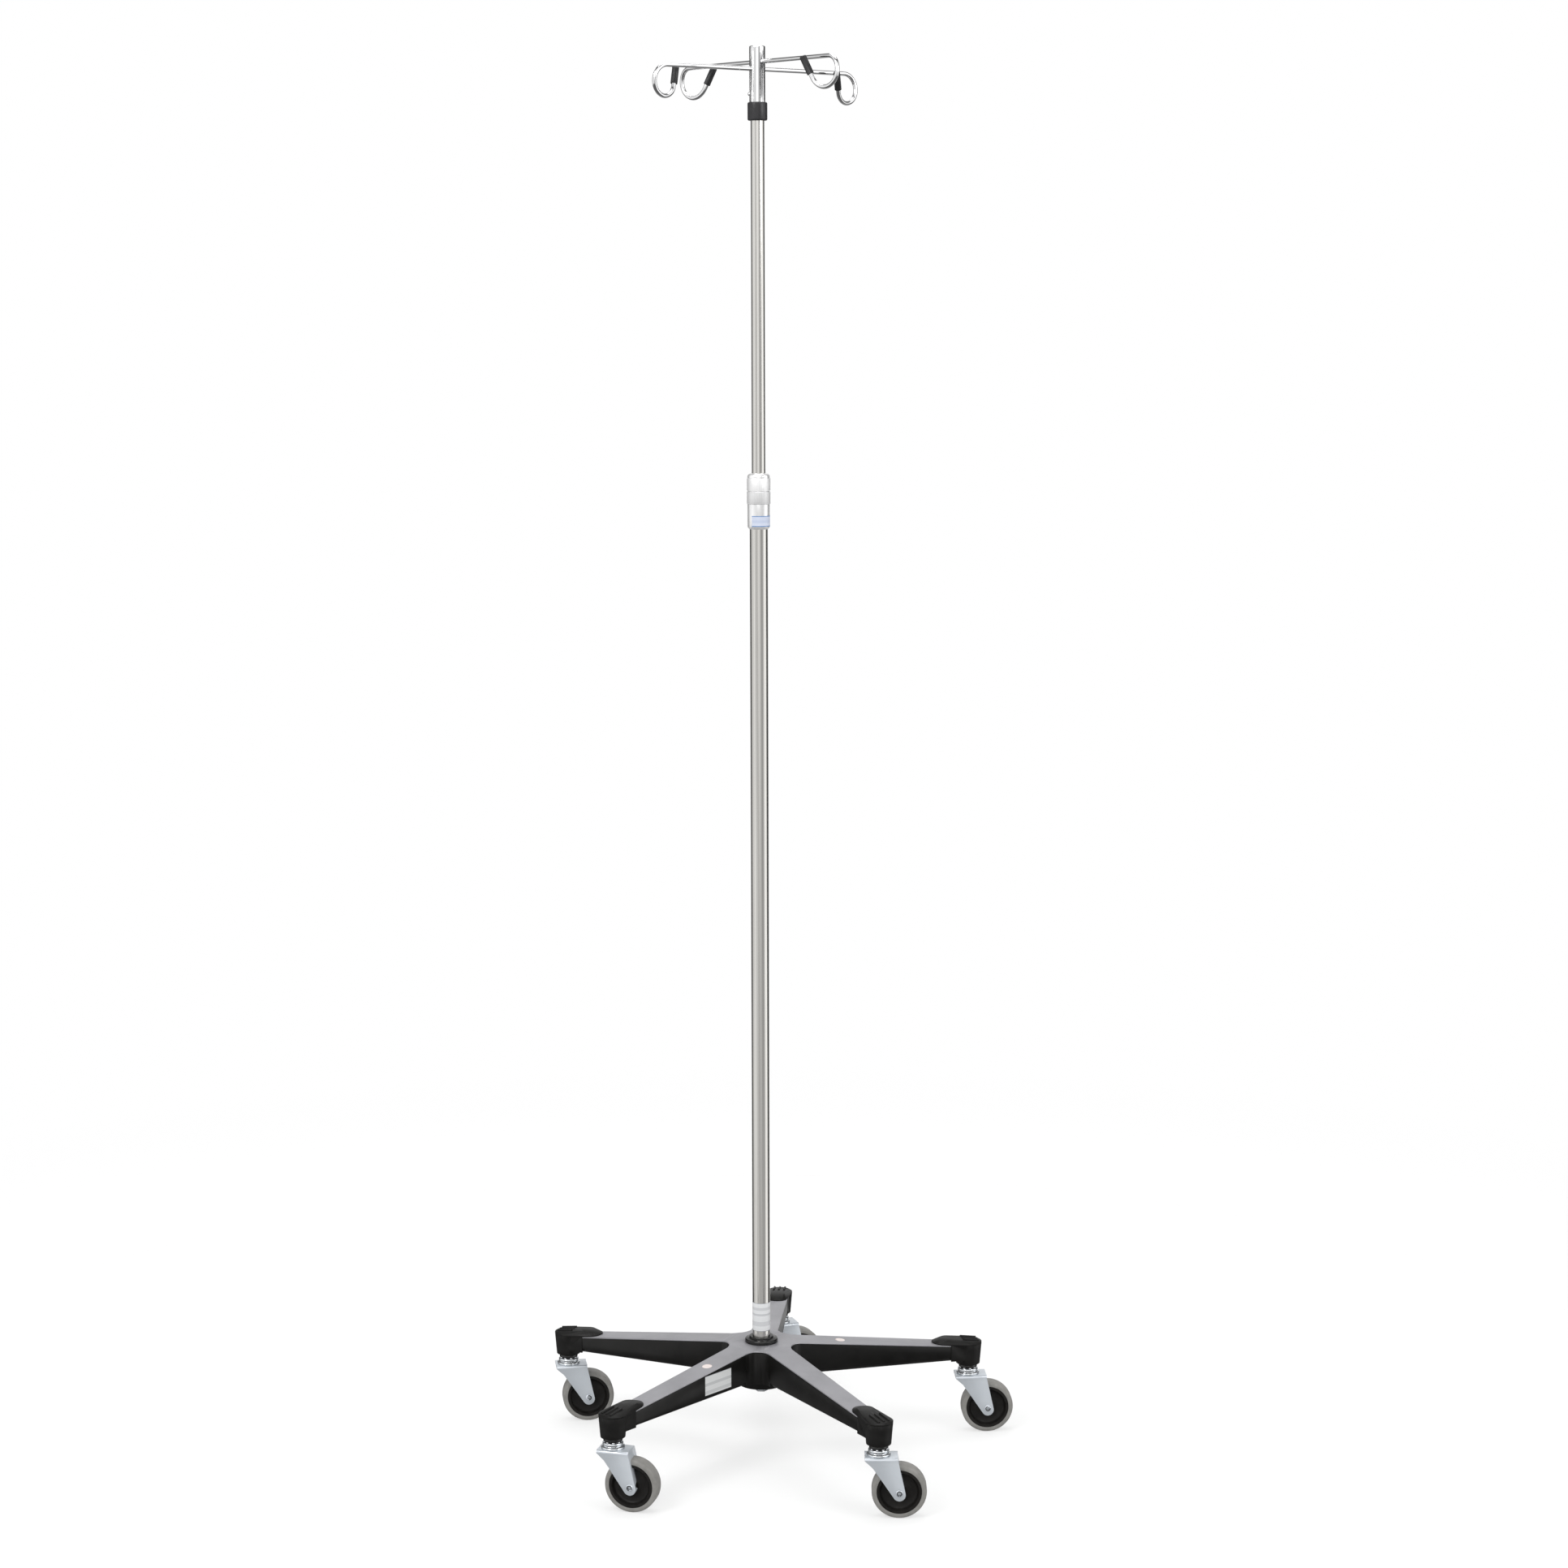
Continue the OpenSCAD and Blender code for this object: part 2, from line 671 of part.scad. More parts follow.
module neck_sleeve() {
    r = neck_r;
    color([0.12, 0.12, 0.13]) translate([0, 0, neck_z]) rotate_extrude() polygon(concat(
        [[mast_r + fit_gap, 0]], arc([r - neck_round, neck_round], neck_round, -90, 0),
        arc([r - neck_round, neck_h - neck_round], neck_round, 0, 90),
        [[head_r + fit_gap, neck_h], [head_r + fit_gap, neck_lip], [mast_r + fit_gap, neck_lip]]));
}

module head_tube() {
    color([0.82, 0.81, 0.79]) difference() {
        translate([0, 0, head_foot]) tube(head_r, head_in_r, head_top - head_cap_h - head_foot);
        button_hole(head_in_r, head_r);
        for (k = [0, 1]) on_hook(k) rotate([0, 90, 0])
            cylinder(r = rod_r + fit_gap, h = 3 * head_r, center = true);
    }
}

module head_cap() {
    round_c = [head_r - head_cap_round, head_cap_h - head_cap_round];
    color([0.8, 0.8, 0.8]) translate([0, 0, head_top - head_cap_h]) rotate_extrude() polygon(concat(
        [[0, -head_plug_h], [head_in_r - fit_gap, -head_plug_h], [head_in_r - fit_gap, 0], [head_r, 0]],
        arc(round_c, head_cap_round, 0, 90), [[0, head_cap_h]]));
}

// Spring button with its leaf, drawn along +X
module snap_button() {
    out = head_r + button_out;
    color([0.82, 0.82, 0.83]) rotate([0, 0, hook_turn + button_angle]) translate([0, 0, button_z]) {
        translate([leaf_x, -leaf_w / 2, -leaf_h / 2]) cube([leaf_t, leaf_w, leaf_h]);
        rotate([0, 90, 0]) rotate_extrude() polygon(concat(
            [[0, leaf_x + leaf_t / 2], [button_r, leaf_x + leaf_t / 2]],
            arc([0, out - button_r], button_r, 0, 90, 8)));
    }
}

// ---- Hooks ----

// Centre line of one hook from the arm's end to the rod's end, along +X
function loop_points() = [for (i = [0:loop_steps])
    let(a = loop_sweep * i / loop_steps, u = loop_len * i / loop_steps)
    [loop_x + loop_r * sin(a), -drift * u * u, loop_r * cos(a) - loop_r]];
function rise_end() = let(p = loop_points()[loop_steps])
    p + rise_len * [cos(loop_sweep), -2 * drift * loop_len, -sin(loop_sweep)];
function hook_points() = concat(loop_points(), [rise_end()]);
function turned(p) = [-p[0], -p[1], p[2]];
function rod_points() = let(h = hook_points(), n = len(h))
    concat([for (i = [1:n]) turned(h[n - i])], h);

function unit(v) = v / norm(v);
function heading(p, i) = unit(p[min(i + 1, len(p) - 1)] - p[max(i - 1, 0)]);
function rod_ring(p, t) = let(a = unit(cross(t, [0, 1, 0])), b = cross(t, a))
    [for (j = [0:rod_sides - 1]) let(w = 360 * j / rod_sides) p + rod_r * (cos(w) * a + sin(w) * b)];

// Round rod with a loop at each end
module hook_rod() {
    p = rod_points();
    n = rod_sides;
    last = len(p) - 1;
    points = [for (i = [0:last], q = rod_ring(p[i], heading(p, i))) q];
    sides = [for (i = [0:last - 1], j = [0:n - 1], half = [0, 1])
        let(a = i * n + j, b = i * n + (j + 1) % n)
        half == 0 ? [a, b, a + n] : [b, b + n, a + n]];
    ends = [[for (j = [0:n - 1]) n - 1 - j], [for (j = [0:n - 1]) last * n + j]];
    polyhedron(points, concat(sides, ends));
}

module hook_rod_low() {
    color([0.83, 0.82, 0.8]) on_hook(0) hook_rod();
}

module hook_rod_high() {
    color([0.83, 0.82, 0.8]) on_hook(1) hook_rod();
}

module hook_tip(k) {
    p = rise_end();
    d = unit(p - loop_points()[loop_steps]);
    r = tip_r;
    color([0.09, 0.09, 0.09]) on_hook(k) translate(p - (tip_len - tip_over) * d)
        rotate([0, acos(d[2]), atan2(d[1], d[0])]) rotate_extrude() polygon(concat(
            [[rod_r + fit_gap, 0], [r - edge / 2, 0], [r, edge / 2]],
            arc([r - tip_round, tip_len - tip_round], tip_round, 0, 90),
            [[0, tip_len], [0, tip_len - tip_over + fit_gap],
             [rod_r + fit_gap, tip_len - tip_over + fit_gap]]));
}

// ---- Blank labels ----

// Part of a thin ring, centred on the direction a
module wrap(r, h, z, a, span) {
    translate([0, 0, z]) rotate([0, 0, a - span / 2]) rotate_extrude(angle = span)
        translate([r, 0]) square([label_t, h]);
}

module tube_label() {
    color([0.92, 0.92, 0.92]) wrap(outer_r, tube_label_h, tube_label_z, -90, 230);
}

module lock_label() {
    color([0.75, 0.8, 0.92]) wrap(lock_r, lock_label_h, lock_z + 4, -62, 120);
}

// Sticker on the side of the fourth leg, on the face towards the third
module leg_label() {
    foot = arm_z + belly_r;
    top = deck_at(leg_label_at[1]) - cover_t - leg_label_margin;
    color([0.9, 0.9, 0.9]) on_leg(3) translate([web_foot, arm_root_w / 2, 0]) rotate([0, 0, -arm_taper])
        translate([leg_label_at[0] - web_foot, 0, foot])
            cube([leg_label_at[1] - leg_label_at[0], label_t, top - foot]);
}

module arm_badges() {
    color([0.85, 0.8, 0.78]) for (i = [1, 3]) on_leg(i)
        translate([badge_at, 0, deck_at(badge_at)]) rotate([0, arm_fall, 0])
            cylinder(r = badge_r, h = label_t);
}

// ---- What is drawn ----

spider_base();
star_cover();
end_caps();
hub_ring();
hub_washer();
hub_bolt();
tube_plug();
caster_stems();
swivel_cups();
swivel_balls();
outer_tube();
lock_body();
lock_collet();
lock_knob();
guide_bush();
inner_tube();
neck_sleeve();
head_tube();
head_cap();
snap_button();
hook_rod_low();
hook_rod_high();
tube_label();
leg_label();
arm_badges();
lock_label();
for (k = [0:3]) hook_tip(k);
for (i = LEGS) {
    fork(i);
    raceway(i);
    axle(i);
    wheel_core(i);
    tyre(i);
}
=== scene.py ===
import json
import math

import bmesh
import bpy
from mathutils import Matrix, Vector


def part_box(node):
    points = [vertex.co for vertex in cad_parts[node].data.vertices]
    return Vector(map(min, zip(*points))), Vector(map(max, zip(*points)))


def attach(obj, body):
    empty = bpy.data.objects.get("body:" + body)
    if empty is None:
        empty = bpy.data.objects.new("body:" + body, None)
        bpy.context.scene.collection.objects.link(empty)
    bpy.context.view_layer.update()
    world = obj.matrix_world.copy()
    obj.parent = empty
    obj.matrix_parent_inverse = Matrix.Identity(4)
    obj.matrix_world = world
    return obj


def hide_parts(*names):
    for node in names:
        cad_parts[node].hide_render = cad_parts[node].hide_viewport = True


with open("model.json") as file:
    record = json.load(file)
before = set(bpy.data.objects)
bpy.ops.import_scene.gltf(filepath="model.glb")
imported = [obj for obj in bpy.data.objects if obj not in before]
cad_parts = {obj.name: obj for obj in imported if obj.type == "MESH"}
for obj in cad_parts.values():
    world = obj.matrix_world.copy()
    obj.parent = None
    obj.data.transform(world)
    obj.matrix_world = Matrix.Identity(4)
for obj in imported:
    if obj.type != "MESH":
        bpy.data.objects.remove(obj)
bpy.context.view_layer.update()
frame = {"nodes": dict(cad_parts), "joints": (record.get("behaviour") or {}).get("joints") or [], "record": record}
bpy.ops.object.select_all(action="DESELECT")
joints = {joint["name"]: joint for joint in frame["joints"]}
bodyOf = {node: body for body, members in frame["record"]["behaviour"]["bodies"].items() for node in members}
casterCount = 5
mm = 0.001
print("frame loaded")


# camera, floor and light

cameraView = {"place": (0.401, -4.485, 1.666), "turn": 4.67, "tilt": 8.66, "roll": -0.12,
              "lens": 73.88, "sensor": 36, "farthest": 60}


def placeCamera():
    bpy.ops.object.camera_add()
    camera = bpy.context.object
    camera.name = "viewCamera"
    camera.matrix_world = (Matrix.Translation(cameraView["place"])
                           @ Matrix.Rotation(math.radians(cameraView["turn"]), 4, "Z")
                           @ Matrix.Rotation(math.radians(90 - cameraView["tilt"]), 4, "X")
                           @ Matrix.Rotation(math.radians(cameraView["roll"]), 4, "Z"))
    camera.data.lens = cameraView["lens"]
    camera.data.sensor_width = cameraView["sensor"]
    camera.data.clip_end = cameraView["farthest"]
    bpy.context.scene.camera = camera
    camera.select_set(False)


floorLook = {"radius": 5.0, "fadeFrom": 0.9, "fadeTo": 2.4, "solid": 0.4,
             "tone": (0.9, 0.9, 0.9, 1), "rough": 0.7, "specular": 0.1}


def layFloor():
    # a pale disc that thins out to nothing, so that no edge of it is seen
    bpy.ops.mesh.primitive_circle_add(vertices=128, radius=floorLook["radius"], fill_type="NGON")
    floor = bpy.context.object
    floor.name = "studioFloor"
    material = bpy.data.materials.new("paleFloor")
    material.use_nodes = True
    tree = material.node_tree
    shader = tree.nodes["Principled BSDF"]
    shader.inputs["Base Color"].default_value = floorLook["tone"]
    shader.inputs["Roughness"].default_value = floorLook["rough"]
    shader.inputs["Specular IOR Level"].default_value = floorLook["specular"]
    coords = tree.nodes.new("ShaderNodeTexCoord")
    length = tree.nodes.new("ShaderNodeVectorMath")
    length.operation = "LENGTH"
    fade = tree.nodes.new("ShaderNodeMapRange")
    fade.interpolation_type = "SMOOTHSTEP"
    fade.inputs["From Min"].default_value = floorLook["fadeFrom"]
    fade.inputs["From Max"].default_value = floorLook["fadeTo"]
    fade.inputs["To Min"].default_value = floorLook["solid"]
    fade.inputs["To Max"].default_value = 0
    tree.links.new(coords.outputs["Object"], length.inputs[0])
    tree.links.new(length.outputs["Value"], fade.inputs["Value"])
    tree.links.new(fade.outputs["Result"], shader.inputs["Alpha"])
    floor.data.materials.append(material)
    # mirrored in the tube, the bright floor would wash out its foot
    floor.visible_glossy = False
    floor.select_set(False)


# how bright the studio is all the way round, from the left of the back to the right of it
studioTones = [(0.00, 0.80), (0.055, 0.75), (0.085, 0.10), (0.17, 0.05), (0.225, 0.74), (0.33, 1.08),
               (0.40, 0.78), (0.47, 0.56), (0.515, 0.60), (0.56, 0.56), (0.625, 0.40), (0.67, 0.62),
               (0.71, 1.36), (0.775, 1.36), (0.815, 0.04), (0.915, 0.10), (0.945, 0.75), (1.00, 0.80)]
# a panel over the camera, which shows higher up a post than lower down
panelTones = [(0.445, 0.0), (0.475, 1.0), (0.53, 1.0), (0.57, 0.0)]
studioLight = {"overhead": 1.2, "ceiling": 0.03, "panel": 1.25, "floorNear": 0.12, "floorFar": 0.26,
               "soft": 0.70, "backdrop": 1.0, "strength": 1.0}
# where each tone sets in and where it is full, along the direction looked in
studioReach = {"panel": (-0.26, 0.02), "ceiling": (0.62, 0.9), "overhead": (0.80, 0.90),
               "floor": (-0.33, -0.46), "floorFar": (-0.1, 0.5)}
overheadAim = {"up": 0.545, "front": 0.839}


def setTones(ramp, tones):
    while len(ramp.elements) < len(tones):
        ramp.elements.new(0.5)
    for stop, (where, tone) in zip(ramp.elements, tones):
        stop.position = where
        stop.color = (tone, tone, tone, 1)


def paintStudio():
    world = bpy.data.worlds.new("studio")
    bpy.context.scene.world = world
    world.use_nodes = True
    tree = world.node_tree
    background = tree.nodes["Background"]
    coords = tree.nodes.new("ShaderNodeTexCoord")
    split = tree.nodes.new("ShaderNodeSeparateXYZ")
    tree.links.new(coords.outputs["Generated"], split.inputs["Vector"])

    def calculate(operation, *sources):
        step = tree.nodes.new("ShaderNodeMath")
        step.operation = operation
        for socket, source in zip(step.inputs, sources):
            if isinstance(source, (int, float)):
                socket.default_value = source
            else:
                tree.links.new(source, socket)
        return step.outputs["Value"]

    def reach(source, start, stop):
        spread = tree.nodes.new("ShaderNodeMapRange")
        spread.interpolation_type = "SMOOTHSTEP"
        spread.inputs["From Min"].default_value = start
        spread.inputs["From Max"].default_value = stop
        tree.links.new(source, spread.inputs["Value"])
        return spread.outputs["Result"]

    def ramp(source, tones):
        band = tree.nodes.new("ShaderNodeValToRGB")
        setTones(band.color_ramp, tones)
        tree.links.new(source, band.inputs["Fac"])
        return band.outputs["Color"]

    def blend(share, under, over):
        mix = tree.nodes.new("ShaderNodeMix")
        mix.data_type = "RGBA"
        tree.links.new(share, mix.inputs["Factor"])
        for label, source in (("A", under), ("B", over)):
            if isinstance(source, float):
                mix.inputs[label].default_value = (source, source, source, 1)
            else:
                tree.links.new(source, mix.inputs[label])
        return mix.outputs["Result"]

    away = calculate("MULTIPLY", split.outputs["Y"], -1)
    around = calculate("ARCTAN2", split.outputs["X"], away)
    turn = calculate("MULTIPLY_ADD", around, 0.5 / math.pi, 0.5)
    panel = calculate("MULTIPLY", ramp(turn, panelTones), reach(split.outputs["Z"], *studioReach["panel"]))
    colour = blend(panel, ramp(turn, studioTones), studioLight["panel"])
    colour = blend(reach(split.outputs["Z"], *studioReach["ceiling"]), colour, studioLight["ceiling"])
    lean = calculate("ADD", calculate("MULTIPLY", split.outputs["Z"], overheadAim["up"]),
                     calculate("MULTIPLY", away, overheadAim["front"]))
    colour = blend(reach(lean, *studioReach["overhead"]), colour, studioLight["overhead"])
    floorTone = blend(reach(split.outputs["Y"], *studioReach["floorFar"]),
                      studioLight["floorNear"], studioLight["floorFar"])
    colour = blend(reach(split.outputs["Z"], *studioReach["floor"]), colour, floorTone)
    seen = tree.nodes.new("ShaderNodeLightPath")
    colour = blend(seen.outputs["Is Diffuse Ray"], colour, studioLight["soft"])
    colour = blend(seen.outputs["Is Camera Ray"], colour, studioLight["backdrop"])
    tree.links.new(colour, background.inputs["Color"])
    background.inputs["Strength"].default_value = studioLight["strength"]
    bpy.context.scene.view_settings.view_transform = "Standard"


softboxes = {
    "keyBox": {"place": (-2.2, -2.6, 3.6), "size": 1.8, "power": 70},
    "fillBox": {"place": (2.8, -1.6, 2.6), "size": 1.6, "power": 32},
    "topBox": {"place": (0.0, 0.6, 4.6), "size": 2.4, "power": 60},
}


def hangSoftboxes():
    aim = Vector((0, 0, 0.7))
    for name, box in softboxes.items():
        bpy.ops.object.light_add(type="AREA", location=box["place"])
        lamp = bpy.context.object
        lamp.name = name
        lamp.data.energy = box["power"]
        lamp.data.size = box["size"]
        lamp.rotation_euler = (aim - Vector(box["place"])).to_track_quat("-Z", "Y").to_euler()
        lamp.select_set(False)


placeCamera()
layFloor()
paintStudio()
hangSoftboxes()
print("studio ready")


# effects that several finishes share

def newGroup(name, numbersIn, valuesOut):
    group = bpy.data.node_groups.new(name, "ShaderNodeTree")
    group.interface.new_socket(name="Vector", in_out="INPUT", socket_type="NodeSocketVector")
    for label, value in numbersIn.items():
        socket = group.interface.new_socket(name=label, in_out="INPUT", socket_type="NodeSocketFloat")
        socket.default_value = value
    for label in valuesOut:
        group.interface.new_socket(name=label, in_out="OUTPUT", socket_type="NodeSocketFloat")
    return group, group.nodes.new("NodeGroupInput"), group.nodes.new("NodeGroupOutput")


def buildGrain():
    # soft mottling, and a finer grain for the surface height
    group, start, end = newGroup("surfaceGrain", {"Size": 400, "Softness": 60}, ["Mottle", "Height"])
    for label, scale, detail in (("Mottle", "Softness", 4), ("Height", "Size", 8)):
        noise = group.nodes.new("ShaderNodeTexNoise")
        noise.inputs["Detail"].default_value = detail
        noise.inputs["Roughness"].default_value = 0.6
        group.links.new(start.outputs["Vector"], noise.inputs["Vector"])
        group.links.new(start.outputs[scale], noise.inputs["Scale"])
        group.links.new(noise.outputs["Fac"], end.inputs[label])
    return group


def buildDrawnLines():
    # fine lines left along a tube or a plate by drawing and grinding
    group, start, end = newGroup("drawnLines", {"Across": 900, "Along": 6}, ["Line"])
    stretch = group.nodes.new("ShaderNodeCombineXYZ")
    scaled = group.nodes.new("ShaderNodeVectorMath")
    scaled.operation = "MULTIPLY"
    noise = group.nodes.new("ShaderNodeTexNoise")
    noise.inputs["Scale"].default_value = 1
    noise.inputs["Detail"].default_value = 5
    noise.inputs["Roughness"].default_value = 0.65
    for axis, source in (("X", "Across"), ("Y", "Across"), ("Z", "Along")):
        group.links.new(start.outputs[source], stretch.inputs[axis])
    group.links.new(start.outputs["Vector"], scaled.inputs[0])
    group.links.new(stretch.outputs["Vector"], scaled.inputs[1])
    group.links.new(scaled.outputs["Vector"], noise.inputs["Vector"])
    group.links.new(noise.outputs["Fac"], end.inputs["Line"])
    return group


def buildHandling():
    # scattered dull patches where the piece is touched and wiped
    group, start, end = newGroup("handlingMarks", {"Spread": 14, "Start": 0.55}, ["Mark"])
    noise = group.nodes.new("ShaderNodeTexNoise")
    noise.inputs["Detail"].default_value = 5
    noise.inputs["Distortion"].default_value = 0.6
    reach = group.nodes.new("ShaderNodeMapRange")
    reach.interpolation_type = "SMOOTHSTEP"
    reach.inputs["From Max"].default_value = 0.75
    group.links.new(start.outputs["Vector"], noise.inputs["Vector"])
    group.links.new(start.outputs["Spread"], noise.inputs["Scale"])
    group.links.new(start.outputs["Start"], reach.inputs["From Min"])
    group.links.new(noise.outputs["Fac"], reach.inputs["Value"])
    group.links.new(reach.outputs["Result"], end.inputs["Mark"])
    return group


grainGroup = buildGrain()
linesGroup = buildDrawnLines()
handlingGroup = buildHandling()


# finishes

finishLooks = {
    "mouldedNylon": {"dark": (0.0042, 0.0040, 0.0037), "light": (0.0095, 0.0090, 0.0084), "metal": 0,
                     "rough": (0.36, 0.52), "grain": 900, "soft": 30, "bump": 0.10, "specular": 0.24},
    "capNylon": {"dark": (0.0045, 0.0043, 0.0040), "light": (0.0105, 0.0100, 0.0094), "metal": 0,
                 "rough": (0.44, 0.60), "grain": 800, "soft": 60, "bump": 0.16, "specular": 0.24},
    "ringNylon": {"dark": (0.006, 0.006, 0.006), "light": (0.010, 0.010, 0.010), "metal": 0,
                  "rough": (0.20, 0.32), "grain": 900, "soft": 80, "bump": 0.04, "specular": 0.4},
    "coverPlate": {"dark": (0.262, 0.260, 0.276), "light": (0.325, 0.322, 0.342), "metal": 0.30,
                   "rough": (0.36, 0.48), "grain": 1400, "soft": 18, "bump": 0.05, "specular": 0.5},
    # the cover's eased rim gets a lighter, glossier finish than the plate: a painted highlight along its edge
    "coverEdgePaintedHighlight": {"dark": (0.70, 0.69, 0.71), "light": (0.82, 0.81, 0.83), "metal": 0.8,
                  "rough": (0.22, 0.32), "grain": 1400, "soft": 60, "bump": 0.03, "specular": 0.5},
    "zincPlate": {"dark": (0.62, 0.66, 0.705), "light": (0.67, 0.71, 0.755), "metal": 0.40,
                  "rough": (0.22, 0.30), "grain": 300, "soft": 40, "bump": 0.012, "specular": 0.5},
    "zincBright": {"dark": (0.70, 0.73, 0.76), "light": (0.80, 0.83, 0.86), "metal": 0.85,
                   "rough": (0.10, 0.16), "grain": 300, "soft": 60, "bump": 0.012, "specular": 0.5},
    "rivetShade": {"dark": (0.012, 0.012, 0.013), "light": (0.022, 0.022, 0.024), "metal": 0,
                   "rough": (0.55, 0.65), "grain": 300, "soft": 40, "bump": 0.01, "specular": 0.2},
    "plainSteel": {"dark": (0.36, 0.36, 0.36), "light": (0.48, 0.48, 0.48), "metal": 1,
                   "rough": (0.32, 0.44), "grain": 600, "soft": 90, "bump": 0.06, "specular": 0.5},
    "cupAcetal": {"dark": (0.006, 0.006, 0.006), "light": (0.011, 0.011, 0.011), "metal": 0,
                  "rough": (0.14, 0.24), "grain": 900, "soft": 120, "bump": 0.03, "specular": 0.55},
    "bearingSteel": {"dark": (0.82, 0.82, 0.84), "light": (0.92, 0.92, 0.94), "metal": 1,
                     "rough": (0.04, 0.08), "grain": 900, "soft": 200, "bump": 0.01, "specular": 0.5},
    "brightChrome": {"dark": (0.82, 0.82, 0.83), "light": (0.90, 0.90, 0.90), "metal": 1,
                     "rough": (0.04, 0.09), "grain": 300, "soft": 40, "bump": 0.01, "specular": 0.5},
    "satinChrome": {"dark": (0.88, 0.88, 0.885), "light": (0.94, 0.94, 0.94), "metal": 0.55,
                    "rough": (0.12, 0.20), "grain": 300, "soft": 40, "bump": 0.01, "specular": 0.5},
    "bareNylon": {"dark": (0.74, 0.73, 0.69), "light": (0.84, 0.83, 0.79), "metal": 0,
                  "rough": (0.40, 0.52), "grain": 700, "soft": 80, "bump": 0.08, "specular": 0.4},
    "sleeveRubber": {"dark": (0.016, 0.0155, 0.017), "light": (0.028, 0.027, 0.030), "metal": 0,
                     "rough": (0.32, 0.44), "grain": 700, "soft": 90, "bump": 0.10, "specular": 0.4},
    "dippedTip": {"dark": (0.010, 0.010, 0.011), "light": (0.022, 0.022, 0.023), "metal": 0,
                  "rough": (0.36, 0.50), "grain": 500, "soft": 120, "bump": 0.08, "specular": 0.45},
    "wheelNylon": {"dark": (0.0050, 0.0044, 0.0040), "light": (0.013, 0.0115, 0.0100), "metal": 0,
                   "rough": (0.42, 0.58), "grain": 700, "soft": 110, "bump": 0.12, "specular": 0.22},
    "greyTyre": {"dark": (0.205, 0.200, 0.188), "light": (0.275, 0.268, 0.253), "metal": 0,
                 "rough": (0.52, 0.68), "grain": 500, "soft": 90, "bump": 0.12, "specular": 0.30},
}


def startFinish(name, specular, metal):
    material = bpy.data.materials.new(name)
    material.use_nodes = True
    tree = material.node_tree
    shader = tree.nodes["Principled BSDF"]
    shader.inputs["Specular IOR Level"].default_value = specular
    shader.inputs["Metallic"].default_value = metal
    coords = tree.nodes.new("ShaderNodeTexCoord")
    return material, tree, shader, coords.outputs["Object"]


def addEffect(tree, group, vector, **numbers):
    effect = tree.nodes.new("ShaderNodeGroup")
    effect.node_tree = group
    tree.links.new(vector, effect.inputs["Vector"])
    for label, value in numbers.items():
        effect.inputs[label].default_value = value
    return effect


def addTint(tree, mask, dark, light):
    tint = tree.nodes.new("ShaderNodeMix")
    tint.data_type = "RGBA"
    tint.inputs["A"].default_value = (*dark, 1)
    tint.inputs["B"].default_value = (*light, 1)
    tree.links.new(mask, tint.inputs["Factor"])
    return tint


def addRange(tree, value, low, high, fromLow=0.3, fromHigh=0.7):
    spread = tree.nodes.new("ShaderNodeMapRange")
    spread.inputs["From Min"].default_value = fromLow
    spread.inputs["From Max"].default_value = fromHigh
    spread.inputs["To Min"].default_value = low
    spread.inputs["To Max"].default_value = high
    tree.links.new(value, spread.inputs["Value"])
    return spread.outputs["Result"]


def addBump(tree, shader, height, strength, distance=0.0002):
    bump = tree.nodes.new("ShaderNodeBump")
    bump.inputs["Strength"].default_value = strength
    bump.inputs["Distance"].default_value = distance
    tree.links.new(height, bump.inputs["Height"])
    tree.links.new(bump.outputs["Normal"], shader.inputs["Normal"])


def grainFinish(name):
    look = finishLooks[name]
    material, tree, shader, place = startFinish(name, look["specular"], look["metal"])
    grain = addEffect(tree, grainGroup, place, Size=look["grain"], Softness=look["soft"])
    marks = addEffect(tree, handlingGroup, place, Spread=look["soft"] / 3)
    tint = addTint(tree, addRange(tree, grain.outputs["Mottle"], 0, 1), look["dark"], look["light"])
    tree.links.new(tint.outputs["Result"], shader.inputs["Base Color"])
    worn = addRange(tree, marks.outputs["Mark"], *look["rough"], 0, 1)
    tree.links.new(worn, shader.inputs["Roughness"])
    addBump(tree, shader, grain.outputs["Height"], look["bump"])
    return material


tubeLook = {"dark": (0.56, 0.545, 0.52), "light": (0.76, 0.75, 0.72), "rough": (0.17, 0.27),
            "across": 420, "along": 1.6, "marks": 9, "bump": 0.10, "height": 0.0001}


def tubeFinish():
    # ground stainless tube: fine lines run along it, with wiped patches between them
    material, tree, shader, place = startFinish("groundTube", 0.5, 1)
    lines = addEffect(tree, linesGroup, place, Across=tubeLook["across"], Along=tubeLook["along"])
    marks = addEffect(tree, handlingGroup, place, Spread=tubeLook["marks"])
    tint = addTint(tree, addRange(tree, lines.outputs["Line"], 0, 1), tubeLook["dark"], tubeLook["light"])
    tree.links.new(tint.outputs["Result"], shader.inputs["Base Color"])
    worn = addRange(tree, marks.outputs["Mark"], *tubeLook["rough"], 0, 1)
    tree.links.new(worn, shader.inputs["Roughness"])
    addBump(tree, shader, lines.outputs["Line"], tubeLook["bump"], tubeLook["height"])
    return material


# dark and light here are the painted shade in the rib grooves and the painted highlight on the rib crests
gripLook = {"dark": (0.74, 0.74, 0.745), "light": (0.86, 0.86, 0.86), "rough": (0.34, 0.46),
            "metal": 0.45, "ribs": 60, "marks": 60, "bump": 0.22, "height": 0.0003}


